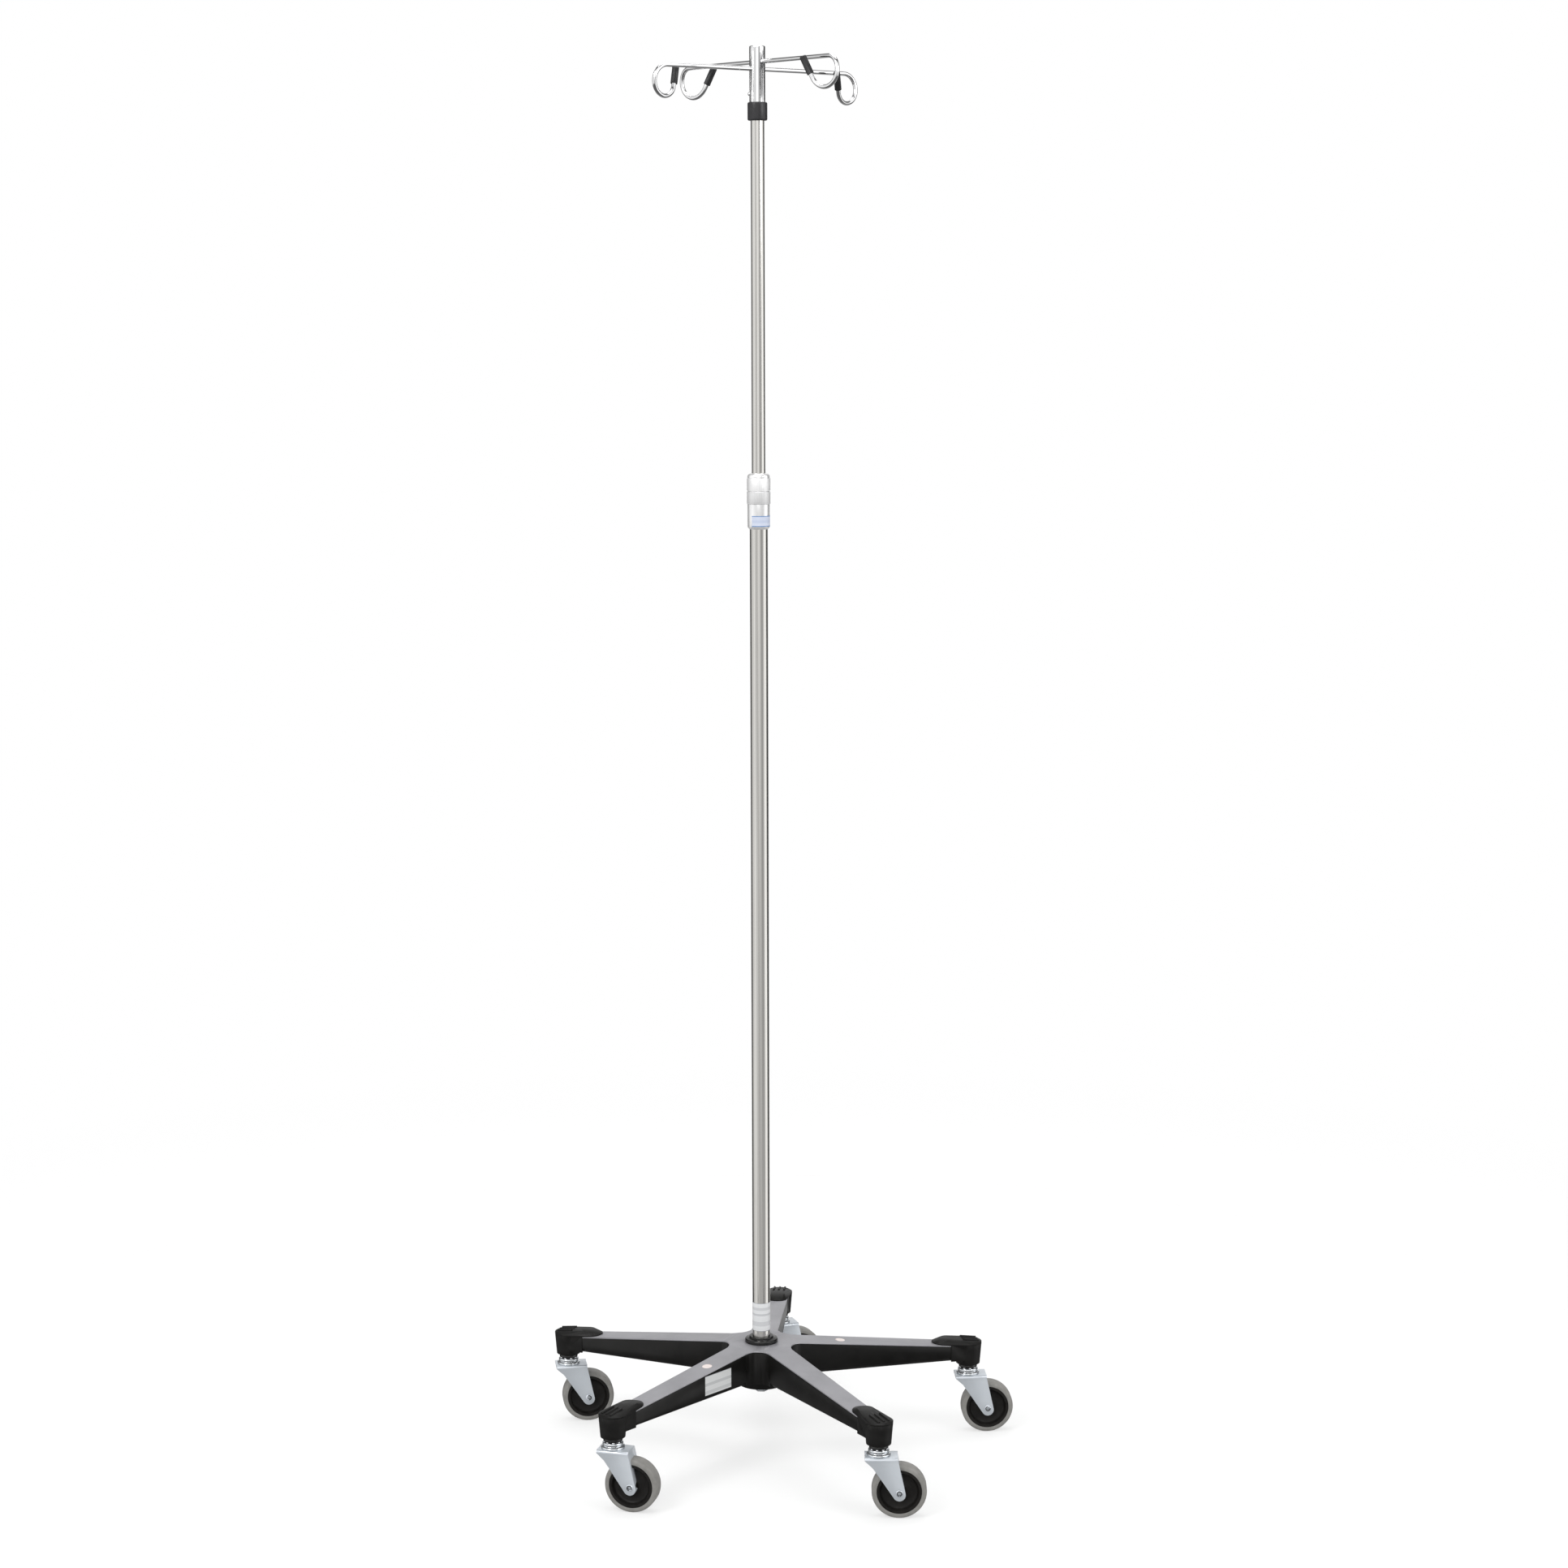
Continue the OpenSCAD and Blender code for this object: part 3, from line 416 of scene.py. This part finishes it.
def gripFinish():
    # matt band with fine upright ribs, for the fingers; its colour holds painted shade in the grooves and a
    # painted highlight on each crest
    material, tree, shader, place = startFinish("ribbedGrip", 0.5, gripLook["metal"])
    split = tree.nodes.new("ShaderNodeSeparateXYZ")
    around = tree.nodes.new("ShaderNodeMath")
    around.operation = "ARCTAN2"
    ribs = tree.nodes.new("ShaderNodeMath")
    ribs.operation = "MULTIPLY"
    ribs.inputs[1].default_value = gripLook["ribs"]
    wave = tree.nodes.new("ShaderNodeMath")
    wave.operation = "SINE"
    tree.links.new(place, split.inputs["Vector"])
    tree.links.new(split.outputs["X"], around.inputs[0])
    tree.links.new(split.outputs["Y"], around.inputs[1])
    tree.links.new(around.outputs["Value"], ribs.inputs[0])
    tree.links.new(ribs.outputs["Value"], wave.inputs[0])
    # the rib wave also lightens and darkens the colour: painted highlight on the crests, painted shade in the
    # grooves
    lit = addRange(tree, wave.outputs["Value"], 0, 1, -1, 1)
    tint = addTint(tree, lit, gripLook["dark"], gripLook["light"])
    marks = addEffect(tree, handlingGroup, place, Spread=gripLook["marks"])
    tree.links.new(tint.outputs["Result"], shader.inputs["Base Color"])
    worn = addRange(tree, marks.outputs["Mark"], *gripLook["rough"], 0, 1)
    tree.links.new(worn, shader.inputs["Roughness"])
    addBump(tree, shader, wave.outputs["Value"], gripLook["bump"], gripLook["height"])
    return material


# heights and rims in metres; panels are (share of the height, how dark); foot is where the film turns under
stickerLooks = {
    "tubeSticker": {"node": "tube_label", "paper": (0.78, 0.79, 0.80), "border": (0.36, 0.37, 0.39),
                    "rim": 0.0008, "panels": [(0.18, 0.35), (0.34, 0.05), (0.55, 0.5), (0.62, 0.05),
                                              (0.74, 0.4), (0.84, 0)]},
    "legSticker": {"node": "leg_label", "paper": (0.66, 0.67, 0.67), "border": (0.36, 0.37, 0.38),
                   "rim": 0.0008, "panels": [(0.25, 0.4), (0.38, 0), (0.58, 0.5), (0.70, 0)],
                   "foot": 0.1128},
    "badgeFilm": {"node": "arm_badges", "paper": (0.74, 0.66, 0.63), "border": (0.62, 0.52, 0.50),
                  "rim": 0.0002, "panels": [(0.4, 0.3), (0.6, 0)]},
    "lockSticker": {"node": "lock_label", "paper": (0.62, 0.67, 0.80), "border": (0.16, 0.28, 0.52),
                    "rim": 0.0012, "panels": [(0.35, 0.18), (0.6, 0.05)]},
}


def stickerFinish(name):
    # blank film: a border along its upper and lower edges and faint empty panels
    look = stickerLooks[name]
    low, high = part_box(look["node"])
    bottom = look.get("foot", low[2])
    material, tree, shader, place = startFinish(name, 0.45, 0)
    shader.inputs["Coat Weight"].default_value = 0.25
    shader.inputs["Coat Roughness"].default_value = 0.2
    split = tree.nodes.new("ShaderNodeSeparateXYZ")
    tree.links.new(place, split.inputs["Vector"])
    upright = addRange(tree, split.outputs["Z"], 0, 1, bottom, high[2])
    bands = tree.nodes.new("ShaderNodeValToRGB")
    bands.color_ramp.interpolation = "CONSTANT"
    share = look["rim"] / (high[2] - bottom)
    setTones(bands.color_ramp, [(0, 1), (share, 0)] + look["panels"] + [(1 - share, 1)])
    tree.links.new(upright, bands.inputs["Fac"])
    tint = addTint(tree, bands.outputs["Color"], look["paper"], look["border"])
    grain = addEffect(tree, grainGroup, place, Size=900, Softness=60)
    tree.links.new(tint.outputs["Result"], shader.inputs["Base Color"])
    tree.links.new(addRange(tree, grain.outputs["Mottle"], 0.30, 0.42), shader.inputs["Roughness"])
    addBump(tree, shader, grain.outputs["Height"], 0.04)
    return material


finishes = {name: grainFinish(name) for name in finishLooks}
finishes["groundTube"] = tubeFinish()
finishes["ribbedGrip"] = gripFinish()
for name in stickerLooks:
    finishes[name] = stickerFinish(name)
print("finishes ready")


# ways of making pieces

def finishPiece(piece, finishNames, slotName, *nodeNames):
    # the finish goes on, and the piece rides where the nodes it stands for ride
    piece.data.materials.clear()
    for finishName in finishNames:
        piece.data.materials.append(finishes[finishName])
    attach(piece, bodyOf[nodeNames[0]])
    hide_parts(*nodeNames)
    piece.select_set(False)
    return piece


def pickOnly(piece):
    bpy.ops.object.select_all(action="DESELECT")
    piece.select_set(True)
    bpy.context.view_layer.objects.active = piece


def smoothBy(piece, angle=35):
    pickOnly(piece)
    bpy.ops.object.shade_smooth_by_angle(angle=math.radians(angle))
    piece.select_set(False)


def turnUp(name, rings, sides=96, hollow=False):
    # a ring is pulled up and widened step by step, as on a lathe; rings are (radius, height) in mm
    radius, height = rings[0]
    bpy.ops.object.select_all(action="DESELECT")
    bpy.ops.mesh.primitive_circle_add(vertices=sides, radius=radius * mm, location=(0, 0, height * mm),
                                      fill_type="NOTHING" if hollow else "NGON")
    piece = bpy.context.object
    piece.name = name
    bpy.ops.object.transform_apply(location=True)
    bpy.ops.object.mode_set(mode="EDIT")
    bpy.ops.mesh.select_mode(type="EDGE" if hollow else "FACE")
    bpy.ops.mesh.select_all(action="SELECT")
    for nextRadius, nextHeight in rings[1:]:
        rise = (nextHeight - height) * mm
        bpy.ops.mesh.extrude_region_move(TRANSFORM_OT_translate={"value": (0, 0, rise)})
        bpy.ops.transform.resize(value=(nextRadius / radius, nextRadius / radius, 1),
                                 center_override=(0, 0, nextHeight * mm))
        radius, height = nextRadius, nextHeight
    if hollow:
        bpy.ops.mesh.select_all(action="DESELECT")
        bpy.ops.mesh.select_non_manifold()
        bpy.ops.mesh.bridge_edge_loops()
    bpy.ops.mesh.select_all(action="SELECT")
    bpy.ops.mesh.normals_make_consistent(inside=False)
    bpy.ops.object.mode_set(mode="OBJECT")
    return piece


def corner(centre, radius, fromAngle, toAngle, steps=5):
    # points of a rounded corner, as (radius, height)
    points = []
    for step in range(steps + 1):
        angle = math.radians(fromAngle + (toAngle - fromAngle) * step / steps)
        points.append((centre[0] + radius * math.cos(angle), centre[1] + radius * math.sin(angle)))
    return points


def moveMesh(piece, matrix):
    piece.matrix_world = matrix
    pickOnly(piece)
    bpy.ops.object.transform_apply(location=True, rotation=True, scale=True)
    piece.select_set(False)


def copyTo(piece, name, matrix):
    twin = bpy.data.objects.new(name, piece.data.copy())
    bpy.context.collection.objects.link(twin)
    moveMesh(twin, matrix)
    return twin


def applyAll(piece):
    pickOnly(piece)
    for modifier in list(piece.modifiers):
        bpy.ops.object.modifier_apply(modifier=modifier.name)
    piece.select_set(False)


def softenNode(node, name, width, segments=2, edgeMaterial=-1, angle=32):
    # the node's own shape with its edges eased, as moulding, pressing or tumbling leaves them
    piece = bpy.data.objects.new(name, frame["nodes"][node].data.copy())
    bpy.context.collection.objects.link(piece)
    pickOnly(piece)
    bpy.ops.object.mode_set(mode="EDIT")
    bpy.ops.mesh.select_all(action="SELECT")
    bpy.ops.mesh.remove_doubles(threshold=0.00002)
    bpy.ops.mesh.dissolve_limited(angle_limit=math.radians(0.6))
    bpy.ops.object.mode_set(mode="OBJECT")
    if width:
        bevel = piece.modifiers.new("easedEdges", "BEVEL")
        bevel.width = width * mm
        bevel.segments = segments
        bevel.limit_method = "ANGLE"
        bevel.angle_limit = math.radians(angle)
        bevel.harden_normals = True
        bevel.material = edgeMaterial
        applyAll(piece)
    smoothBy(piece, angle)
    return piece


def halfWidth(node):
    low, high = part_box(node)
    return (high[0] - low[0]) / 2 / mm


def heights(node):
    low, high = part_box(node)
    return low[2] / mm, high[2] / mm


# base

# the cover's bevel width is also the width of the painted highlight along its rim
baseLook = {"ease": 1.2, "coverEdgePaintedHighlight": 0.9, "capEase": 1.0, "boltEase": 0.5}
hubLook = {"gap": 0.05, "ease": 0.3, "ringRound": 2.0, "shoulder": 3.5, "neckWall": 4.8, "neckRound": 1.2,
           "boltHole": 5.3, "washerRound": 1.6}


def makeBase():
    star = softenNode("spider_base", "starBase", baseLook["ease"], 3)
    finishPiece(star, ["mouldedNylon"], "black_moulding", "spider_base")
    # the bevel faces take the second finish, a painted highlight along the cover's rim
    cover = softenNode("star_cover", "starCover", baseLook["coverEdgePaintedHighlight"], 2, 1)
    finishPiece(cover, ["coverPlate", "coverEdgePaintedHighlight"], "cover_silver", "star_cover")
    caps = softenNode("end_caps", "legEndCaps", baseLook["capEase"], 3)
    finishPiece(caps, ["capNylon"], "black_moulding", "end_caps")


def makeHub():
    look = hubLook
    bore = halfWidth("outer_tube") + look["gap"]
    rim = halfWidth("hub_ring")
    foot, top = heights("hub_ring")
    bend, bead = look["ringRound"], look["neckRound"]
    neck = halfWidth("outer_tube") + look["neckWall"]
    ring = turnUp("hubRing", [(bore, foot), (rim - look["ease"], foot), (rim, foot + look["ease"])]
                  + corner((rim - bend, top - look["shoulder"] - bend), bend, 0, 80)
                  + [(neck + 0.8, top - 3.0), (neck, top - 2.4)]
                  + corner((neck - bead, top - bead), bead, 0, 90) + [(bore, top)], hollow=True)
    smoothBy(ring)
    finishPiece(ring, ["ringNylon"], "black_moulding", "hub_ring")
    edge = halfWidth("hub_washer")
    foot, top = heights("hub_washer")
    hole, bend = look["boltHole"], look["washerRound"]
    washer = turnUp("hubWasher", [(hole, foot), (edge - bend, foot), (edge - 0.5, foot + 0.5),
                                  (edge, foot + bend), (edge, top), (hole, top)], hollow=True)
    smoothBy(washer)
    finishPiece(washer, ["zincBright"], "zinc_plate", "hub_washer")
    bolt = softenNode("hub_bolt", "hubBolt", baseLook["boltEase"])
    finishPiece(bolt, ["zincBright"], "zinc_plate", "hub_bolt")


labelLook = {"roundUnder": 9.0, "thick": 0.15, "underAngles": (12, 26, 40, 54, 66)}


def makeLegLabel():
    # a strip stuck on the leg's side, which follows the rounded lower edge and turns under it
    low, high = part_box("leg_label")
    near = Vector(high)
    far = Vector((low[0], low[1], high[2]))
    down = Vector((0, 0, low[2] - high[2]))
    run = (far - near).normalized()
    inward = Vector((run.y, -run.x, 0))
    if inward.dot(near + far) > 0:
        inward = -inward
    bpy.ops.object.select_all(action="DESELECT")
    bpy.ops.mesh.primitive_plane_add(size=mm)
    strip = bpy.context.object
    strip.name = "legLabel"
    bpy.ops.object.mode_set(mode="EDIT")
    bpy.ops.mesh.select_mode(type="EDGE")
    mesh = bmesh.from_edit_mesh(strip.data)
    ends = sorted(mesh.verts, key=lambda vertex: (vertex.co.y, vertex.co.x))
    for vertex, place in zip(ends, (near, far, near + down, far + down)):
        vertex.co = place
    for edge in mesh.edges:
        edge.select_set(all(abs(vertex.co.z - low[2]) < mm / 10 for vertex in edge.verts))
    bmesh.update_edit_mesh(strip.data)
    radius = labelLook["roundUnder"] * mm
    before = Vector((0, 0))
    for angle in labelLook["underAngles"]:
        bent = math.radians(angle)
        after = Vector((radius * (1 - math.cos(bent)), -radius * math.sin(bent)))
        step = after - before
        bpy.ops.mesh.extrude_region_move(
            TRANSFORM_OT_translate={"value": (inward.x * step.x, inward.y * step.x, step.y)})
        before = after
    bpy.ops.mesh.select_all(action="SELECT")
    bpy.ops.mesh.normals_make_consistent(inside=False)
    bpy.ops.object.mode_set(mode="OBJECT")
    film = strip.modifiers.new("film", "SOLIDIFY")
    film.thickness = labelLook["thick"] * mm
    film.offset = 0
    applyAll(strip)
    smoothBy(strip)
    finishPiece(strip, ["legSticker"], "label_white", "leg_label")


makeBase()
makeHub()
makeLegLabel()
print("base done")


# casters

wheelLook = {"tyreRound": 4.6, "tyreDepth": 7.0, "tyreWidth": 24.0, "tyreSeat": 0.05, "coreHub": 9.0,
             "hubWidth": 28.0, "webWidth": 10.0, "coreWidth": 23.0, "rim": 4.0, "bore": 4.03,
             "rivetHole": 2.3}


def makeWheel():
    look = wheelLook
    outer = (heights("tyre_1")[1] - heights("tyre_1")[0]) / 2
    core = outer - look["tyreDepth"]
    half = look["tyreWidth"] / 2
    bend = look["tyreRound"]
    inner = core + look["tyreSeat"]
    tyre = turnUp("tyre", [(inner, -half + 0.8), (inner + 0.6, -half)]
                  + corner((outer - bend, -half + bend), bend, -90, -4, 8)
                  + [(outer, 0)]
                  + corner((outer - bend, half - bend), bend, 4, 90, 8)
                  + [(inner + 0.6, half), (inner, half - 0.8)], hollow=True)
    smoothBy(tyre)
    rim = core - look["rim"]
    hub = look["coreHub"]
    web = look["webWidth"] / 2
    side = look["coreWidth"] / 2
    hubSide = look["hubWidth"] / 2
    oneSide = ([(look["bore"], hubSide), (hub - 1.6, hubSide), (hub - 0.7, hubSide - 0.7), (hub, web + 2.2),
                (hub + 0.8, web + 0.8), (hub + 2.4, web)]
               + [(rim - 4.2, web), (rim - 2.4, web + 0.7), (rim - 1.2, web + 2.4), (rim - 0.3, side - 1.0),
                  (rim + 0.4, side), (core - 0.5, side), (core, side - 0.5)])
    otherSide = [(radius, -height) for radius, height in reversed(oneSide)]
    wheel = turnUp("wheelCore", oneSide + otherSide, hollow=True)
    smoothBy(wheel, 40)
    return wheel, tyre


forkLook = {"thick": 2.5, "width": 34.0, "front": 18.5, "back": 25.5, "shoulder": 4.0, "bend": 2.6,
            "endRadius": 7.8, "endDrop": 2.5, "knee": (-8.0, 13.5), "waist": (1.4, 27.0), "ease": 0.5,
            "endSteps": (30, 10, -10, -30, -48, -64, -78, -88)}


def makeFork(trail, axleHeight, top):
    # a flat top whose four edges are drawn down, narrowing to a round end at the axle, and made a thin shell
    look = forkLook
    middle = (look["back"] - look["front"]) / 2
    length = look["front"] + look["back"]
    bpy.ops.object.select_all(action="DESELECT")
    bpy.ops.mesh.primitive_plane_add(size=mm, location=(middle * mm, 0, (top - look["thick"] / 2) * mm))
    fork = bpy.context.object
    fork.name = "fork"
    fork.scale = (length, look["width"] - look["thick"], 1)
    bpy.ops.object.transform_apply(location=True, rotation=True, scale=True)
    end = (trail, axleHeight - look["endDrop"])
    radius = look["endRadius"]
    backEdge = (look["back"], top - look["shoulder"])

    def touch(point, side):
        # where a line from point meets the round end
        away = Vector((point[0] - end[0], point[1] - end[1]))
        angle = math.atan2(away.y, away.x) - side * math.acos(radius / away.length)
        return end[0] + radius * math.cos(angle), end[1] + radius * math.sin(angle)

    def along(start, stop, height):
        share = (height - start[1]) / (stop[1] - start[1])
        return start[0] + (stop[0] - start[0]) * share

    waist = (look["waist"][0], top - look["waist"][1])
    knee = (look["knee"][0], top - look["knee"][1])
    frontTouch, backTouch = touch(waist, -1), touch(backEdge, 1)
    shoulder = (-look["front"], top - look["shoulder"])

    def frontAt(height):
        if height >= knee[1]:
            return along(shoulder, knee, height)
        if height >= waist[1]:
            return along(knee, waist, height)
        if height >= frontTouch[1]:
            return along(waist, frontTouch, height)
        return end[0] - math.sqrt(max(radius ** 2 - (height - end[1]) ** 2, 0.3))

    def backAt(height):
        if height >= backTouch[1]:
            return along(backEdge, backTouch, height)
        return end[0] + math.sqrt(max(radius ** 2 - (height - end[1]) ** 2, 0.3))

    levels = [shoulder[1], (shoulder[1] + knee[1]) / 2, knee[1], (knee[1] + waist[1]) / 2, waist[1],
              (waist[1] + frontTouch[1]) / 2]
    levels += [end[1] + radius * math.sin(math.radians(angle)) for angle in look["endSteps"]]
    bpy.ops.object.mode_set(mode="EDIT")
    bpy.ops.mesh.select_mode(type="EDGE")
    mesh = bmesh.from_edit_mesh(fork.data)
    for edge in mesh.edges:
        edge.select_set(abs(edge.verts[0].co.y - edge.verts[1].co.y) < mm / 10)
    bmesh.update_edit_mesh(fork.data)
    front, back, height = -look["front"], look["back"], top - look["thick"] / 2
    for level in levels:
        nextFront, nextBack = front, back
        if level < shoulder[1]:
            nextFront, nextBack = frontAt(level), backAt(level)
        shift = (nextFront + nextBack - front - back) / 2
        step = (shift * mm, 0, (level - height) * mm)
        bpy.ops.mesh.extrude_region_move(TRANSFORM_OT_translate={"value": step})
        bpy.ops.transform.resize(value=((nextBack - nextFront) / (back - front), 1, 1),
                                 center_override=((nextFront + nextBack) / 2 * mm, 0, level * mm))
        front, back, height = nextFront, nextBack, level
    bpy.ops.mesh.select_all(action="DESELECT")
    mesh = bmesh.from_edit_mesh(fork.data)
    topHeight = (top - look["thick"] / 2) * mm
    for edge in mesh.edges:
        flat = all(abs(vertex.co.z - topHeight) < mm / 10 for vertex in edge.verts)
        edge.select_set(flat and abs(edge.verts[0].co.y - edge.verts[1].co.y) < mm / 10)
    bmesh.update_edit_mesh(fork.data)
    bpy.ops.mesh.bevel(offset=look["bend"] * mm, segments=4, affect="EDGES")
    bpy.ops.mesh.select_all(action="SELECT")
    bpy.ops.mesh.normals_make_consistent(inside=False)
    bpy.ops.object.mode_set(mode="OBJECT")
    wall = fork.modifiers.new("sheet", "SOLIDIFY")
    wall.thickness = look["thick"] * mm
    wall.offset = 0
    ease = fork.modifiers.new("easedEdges", "BEVEL")
    ease.width = look["ease"] * mm
    ease.segments = 2
    ease.limit_method = "ANGLE"
    ease.angle_limit = math.radians(50)
    applyAll(fork)
    smoothBy(fork)
    return fork


raceLook = {"bore": 5.63, "foot": 16.5, "footRound": (15.4, 1.6), "crownRound": (12.8, 1.9)}


def makeRaceway():
    foot, top = heights("raceway_1")
    bore = raceLook["bore"]
    (rimCentre, rim), (crownCentre, crown) = raceLook["footRound"], raceLook["crownRound"]
    race = turnUp("raceway", [(bore, foot), (raceLook["foot"], foot)]
                  + corner((rimCentre, foot + rim), rim, -60, 80)
                  + [(14.6, foot + 3.7), (14.2, foot + 4.3)]
                  + corner((crownCentre, top - crown), crown, 0, 90) + [(bore, top)], hollow=True)
    smoothBy(race)
    return race


def makeCasters():
    swivel = joints["caster_swivel_1"]
    spin = joints["wheel_spin_1"]
    trail = math.hypot(spin["pos_m"][0] - swivel["pos_m"][0], spin["pos_m"][1] - swivel["pos_m"][1]) / mm
    wheel, tyre = makeWheel()
    fork = makeFork(trail, spin["pos_m"][2] / mm, heights("raceway_1")[0])
    race = makeRaceway()
    for number in range(1, casterCount + 1):
        swivel = joints["caster_swivel_%d" % number]
        spin = joints["wheel_spin_%d" % number]
        turn = Matrix.Rotation(math.atan2(-spin["axis"][0], spin["axis"][1]), 4, "Z")
        stem = Matrix.Translation((swivel["pos_m"][0], swivel["pos_m"][1], 0))
        axle = Matrix.Translation(spin["pos_m"]) @ turn @ Matrix.Rotation(math.radians(90), 4, "X")
        for source, name, node, finish, slotName, place in (
                (wheel, "wheelCore", "wheel_core", "wheelNylon", "wheel_black", axle),
                (tyre, "tyre", "tyre", "greyTyre", "tyre_grey", axle),
                (fork, "fork", "fork", "zincPlate", "zinc_plate", stem @ turn),
                (race, "raceway", "raceway", "zincBright", "zinc_plate", stem @ turn)):
            piece = copyTo(source, "%s%d" % (name, number), place)
            finishPiece(piece, [finish], slotName, "%s_%d" % (node, number))
        rivet = softenNode("axle_%d" % number, "axleRivet%d" % number, 0.3)
        finishPiece(rivet, ["zincPlate", "rivetShade"], "zinc_plate", "axle_%d" % number)
        line = Vector(spin["axis"]).normalized()
        for face in rivet.data.polygons:
            out = face.center - Vector(spin["pos_m"])
            if (out - line * out.dot(line)).length / mm < wheelLook["rivetHole"] + 0.05:
                face.material_index = 1
    for source in (wheel, tyre, fork, race):
        bpy.data.objects.remove(source)
    cups = softenNode("swivel_cups", "swivelCups", 0.3)
    finishPiece(cups, ["cupAcetal"], "black_cup", "swivel_cups")
    balls = softenNode("swivel_balls", "swivelBalls", 0)
    finishPiece(balls, ["bearingSteel"], "bearing_steel", "swivel_balls")


makeCasters()
print("casters done")


# tubes and lock

tubeShape = {"wall": 1.2, "chamfer": 0.3}


def makeTubes():
    for node, name in (("outer_tube", "lowerTube"), ("inner_tube", "mastTube")):
        radius = halfWidth(node)
        foot, top = heights(node)
        bore, ease = radius - tubeShape["wall"], tubeShape["chamfer"]
        tube = turnUp(name, [(bore, foot), (radius - ease, foot), (radius, foot + ease),
                             (radius, top - ease), (radius - ease, top), (bore, top)], 128, hollow=True)
        smoothBy(tube)
        finishPiece(tube, ["groundTube"], "tube_steel", node)


lockLook = {"wall": 3.1, "band": 18.0, "chamfer": 2.4, "knobRound": 5.0, "ease": 0.8, "tubeGap": 0.05,
            "mastGap": 0.3, "split": 0.3, "neck": 13}


def paintBand(piece, low, high, wall):
    # the second finish goes on the raised band's outer faces
    for face in piece.data.polygons:
        middle = face.center
        if low < middle.z / mm < high and math.hypot(middle.x, middle.y) / mm > wall:
            face.material_index = 1


def makeLock():
    look = lockLook
    tube = halfWidth("outer_tube") + look["tubeGap"]
    smooth = halfWidth("outer_tube") + look["wall"]
    grip = halfWidth("lock_body")
    mast = halfWidth("inner_tube") + look["mastGap"]
    foot = heights("lock_body")[0]
    middle, top = heights("lock_knob")
    middle -= look["split"]
    band = middle - look["band"]
    ease, chamfer = look["ease"], look["chamfer"]
    body = turnUp("lockBody", [(tube, foot), (smooth - chamfer, foot), (smooth - 0.4, foot + chamfer),
                               (smooth, foot + chamfer + 0.8), (smooth, band - 0.2),
                               (grip - 0.2, band + 0.1), (grip, band + 0.5), (grip, middle - ease),
                               (grip - ease, middle), (tube + 0.4, middle),
                               (tube + 0.4, middle + look["neck"]), (mast, middle + look["neck"])],
                  128, hollow=True)
    smoothBy(body, 30)
    finishPiece(body, ["satinChrome", "ribbedGrip"], "chrome", "lock_body")
    paintBand(body, band + 0.4, middle - ease + 0.1, smooth + 0.3)
    knobBand = middle + look["band"]
    bend = look["knobRound"]
    inside = tube + 0.7
    start = middle + look["split"]
    knob = turnUp("lockKnob", [(inside, start), (grip - ease, start), (grip, start + ease),
                               (grip, knobBand - 0.5), (grip - 0.2, knobBand - 0.1), (smooth, knobBand + 0.2)]
                  + corner((smooth - bend, top - bend), bend, 0, 80, 8)
                  + [(mast, top), (mast, top - 4), (inside, top - 7)], 128, hollow=True)
    smoothBy(knob, 30)
    finishPiece(knob, ["satinChrome", "ribbedGrip"], "chrome", "lock_knob")
    paintBand(knob, middle + 0.2 + ease, knobBand - 0.4, smooth + 0.3)


makeTubes()
makeLock()
print("tubes and lock done")


# head and hooks

headLook = {"gap": 0.05, "sleeveRound": 2.2, "sleeveFloor": 4, "capRound": 1.8, "skirt": 3.0}


def makeHead():
    mast = halfWidth("inner_tube")
    sleeve = halfWidth("neck_sleeve")
    foot, top = heights("neck_sleeve")
    bend = headLook["sleeveRound"]
    head = halfWidth("head_cap")
    gap, floor = headLook["gap"], foot + headLook["sleeveFloor"]
    neck = turnUp("neckSleeve", [(mast + gap, foot)]
                  + corner((sleeve - bend, foot + bend), bend, -88, 0)
                  + corner((sleeve - bend, top - bend), bend, 0, 88)
                  + [(head + gap, top), (head + gap, floor), (mast + gap, floor)], hollow=True)
    smoothBy(neck)
    finishPiece(neck, ["sleeveRubber"], "black_sleeve", "neck_sleeve")
    low, high = heights("head_cap")
    bend = headLook["capRound"]
    skirt = high - headLook["skirt"]
    cap = turnUp("headCap", [(mast, low), (mast, skirt), (head - 0.2, skirt), (head, high - 2.8)]
                 + corner((head - bend, high - bend), bend, 0, 86, 8) + [(head * 0.5, high), (0.2, high)])
    smoothBy(cap)
    finishPiece(cap, ["brightChrome"], "chrome", "head_cap")
    finishPiece(softenNode("head_tube", "headTube", 0, angle=30), ["brightChrome"], "chrome", "head_tube")
    finishPiece(softenNode("snap_button", "snapButton", 0), ["brightChrome"], "chrome", "snap_button")


def makeHooks():
    for node, name in (("hook_rod_low", "hookRodLow"), ("hook_rod_high", "hookRodHigh")):
        rod = softenNode(node, name, 0, angle=50)
        smoother = rod.modifiers.new("roundRod", "SUBSURF")
        smoother.levels = 1
        smoother.render_levels = 1
        applyAll(rod)
        smoothBy(rod, 50)
        finishPiece(rod, ["brightChrome"], "chrome", node)
    for number in range(1, 5):
        tip = softenNode("hook_tip_%d" % number, "hookTip%d" % number, 0)
        finishPiece(tip, ["dippedTip"], "tip_rubber", "hook_tip_%d" % number)


makeHead()
makeHooks()
print("head and hooks done")


# nodes whose own shape is right

nodeFinishes = {
    "tube_plug": "plainSteel", "caster_stems": "zincPlate",
    "lock_collet": "bareNylon", "guide_bush": "bareNylon",
    "tube_label": "tubeSticker", "arm_badges": "badgeFilm", "lock_label": "lockSticker",
}
for node, finishName in nodeFinishes.items():
    part = frame["nodes"][node]
    if part.data.materials:
        for index in range(len(part.data.materials)):
            part.data.materials[index] = finishes[finishName]
    else:
        part.data.materials.append(finishes[finishName])
print("nodes finished")
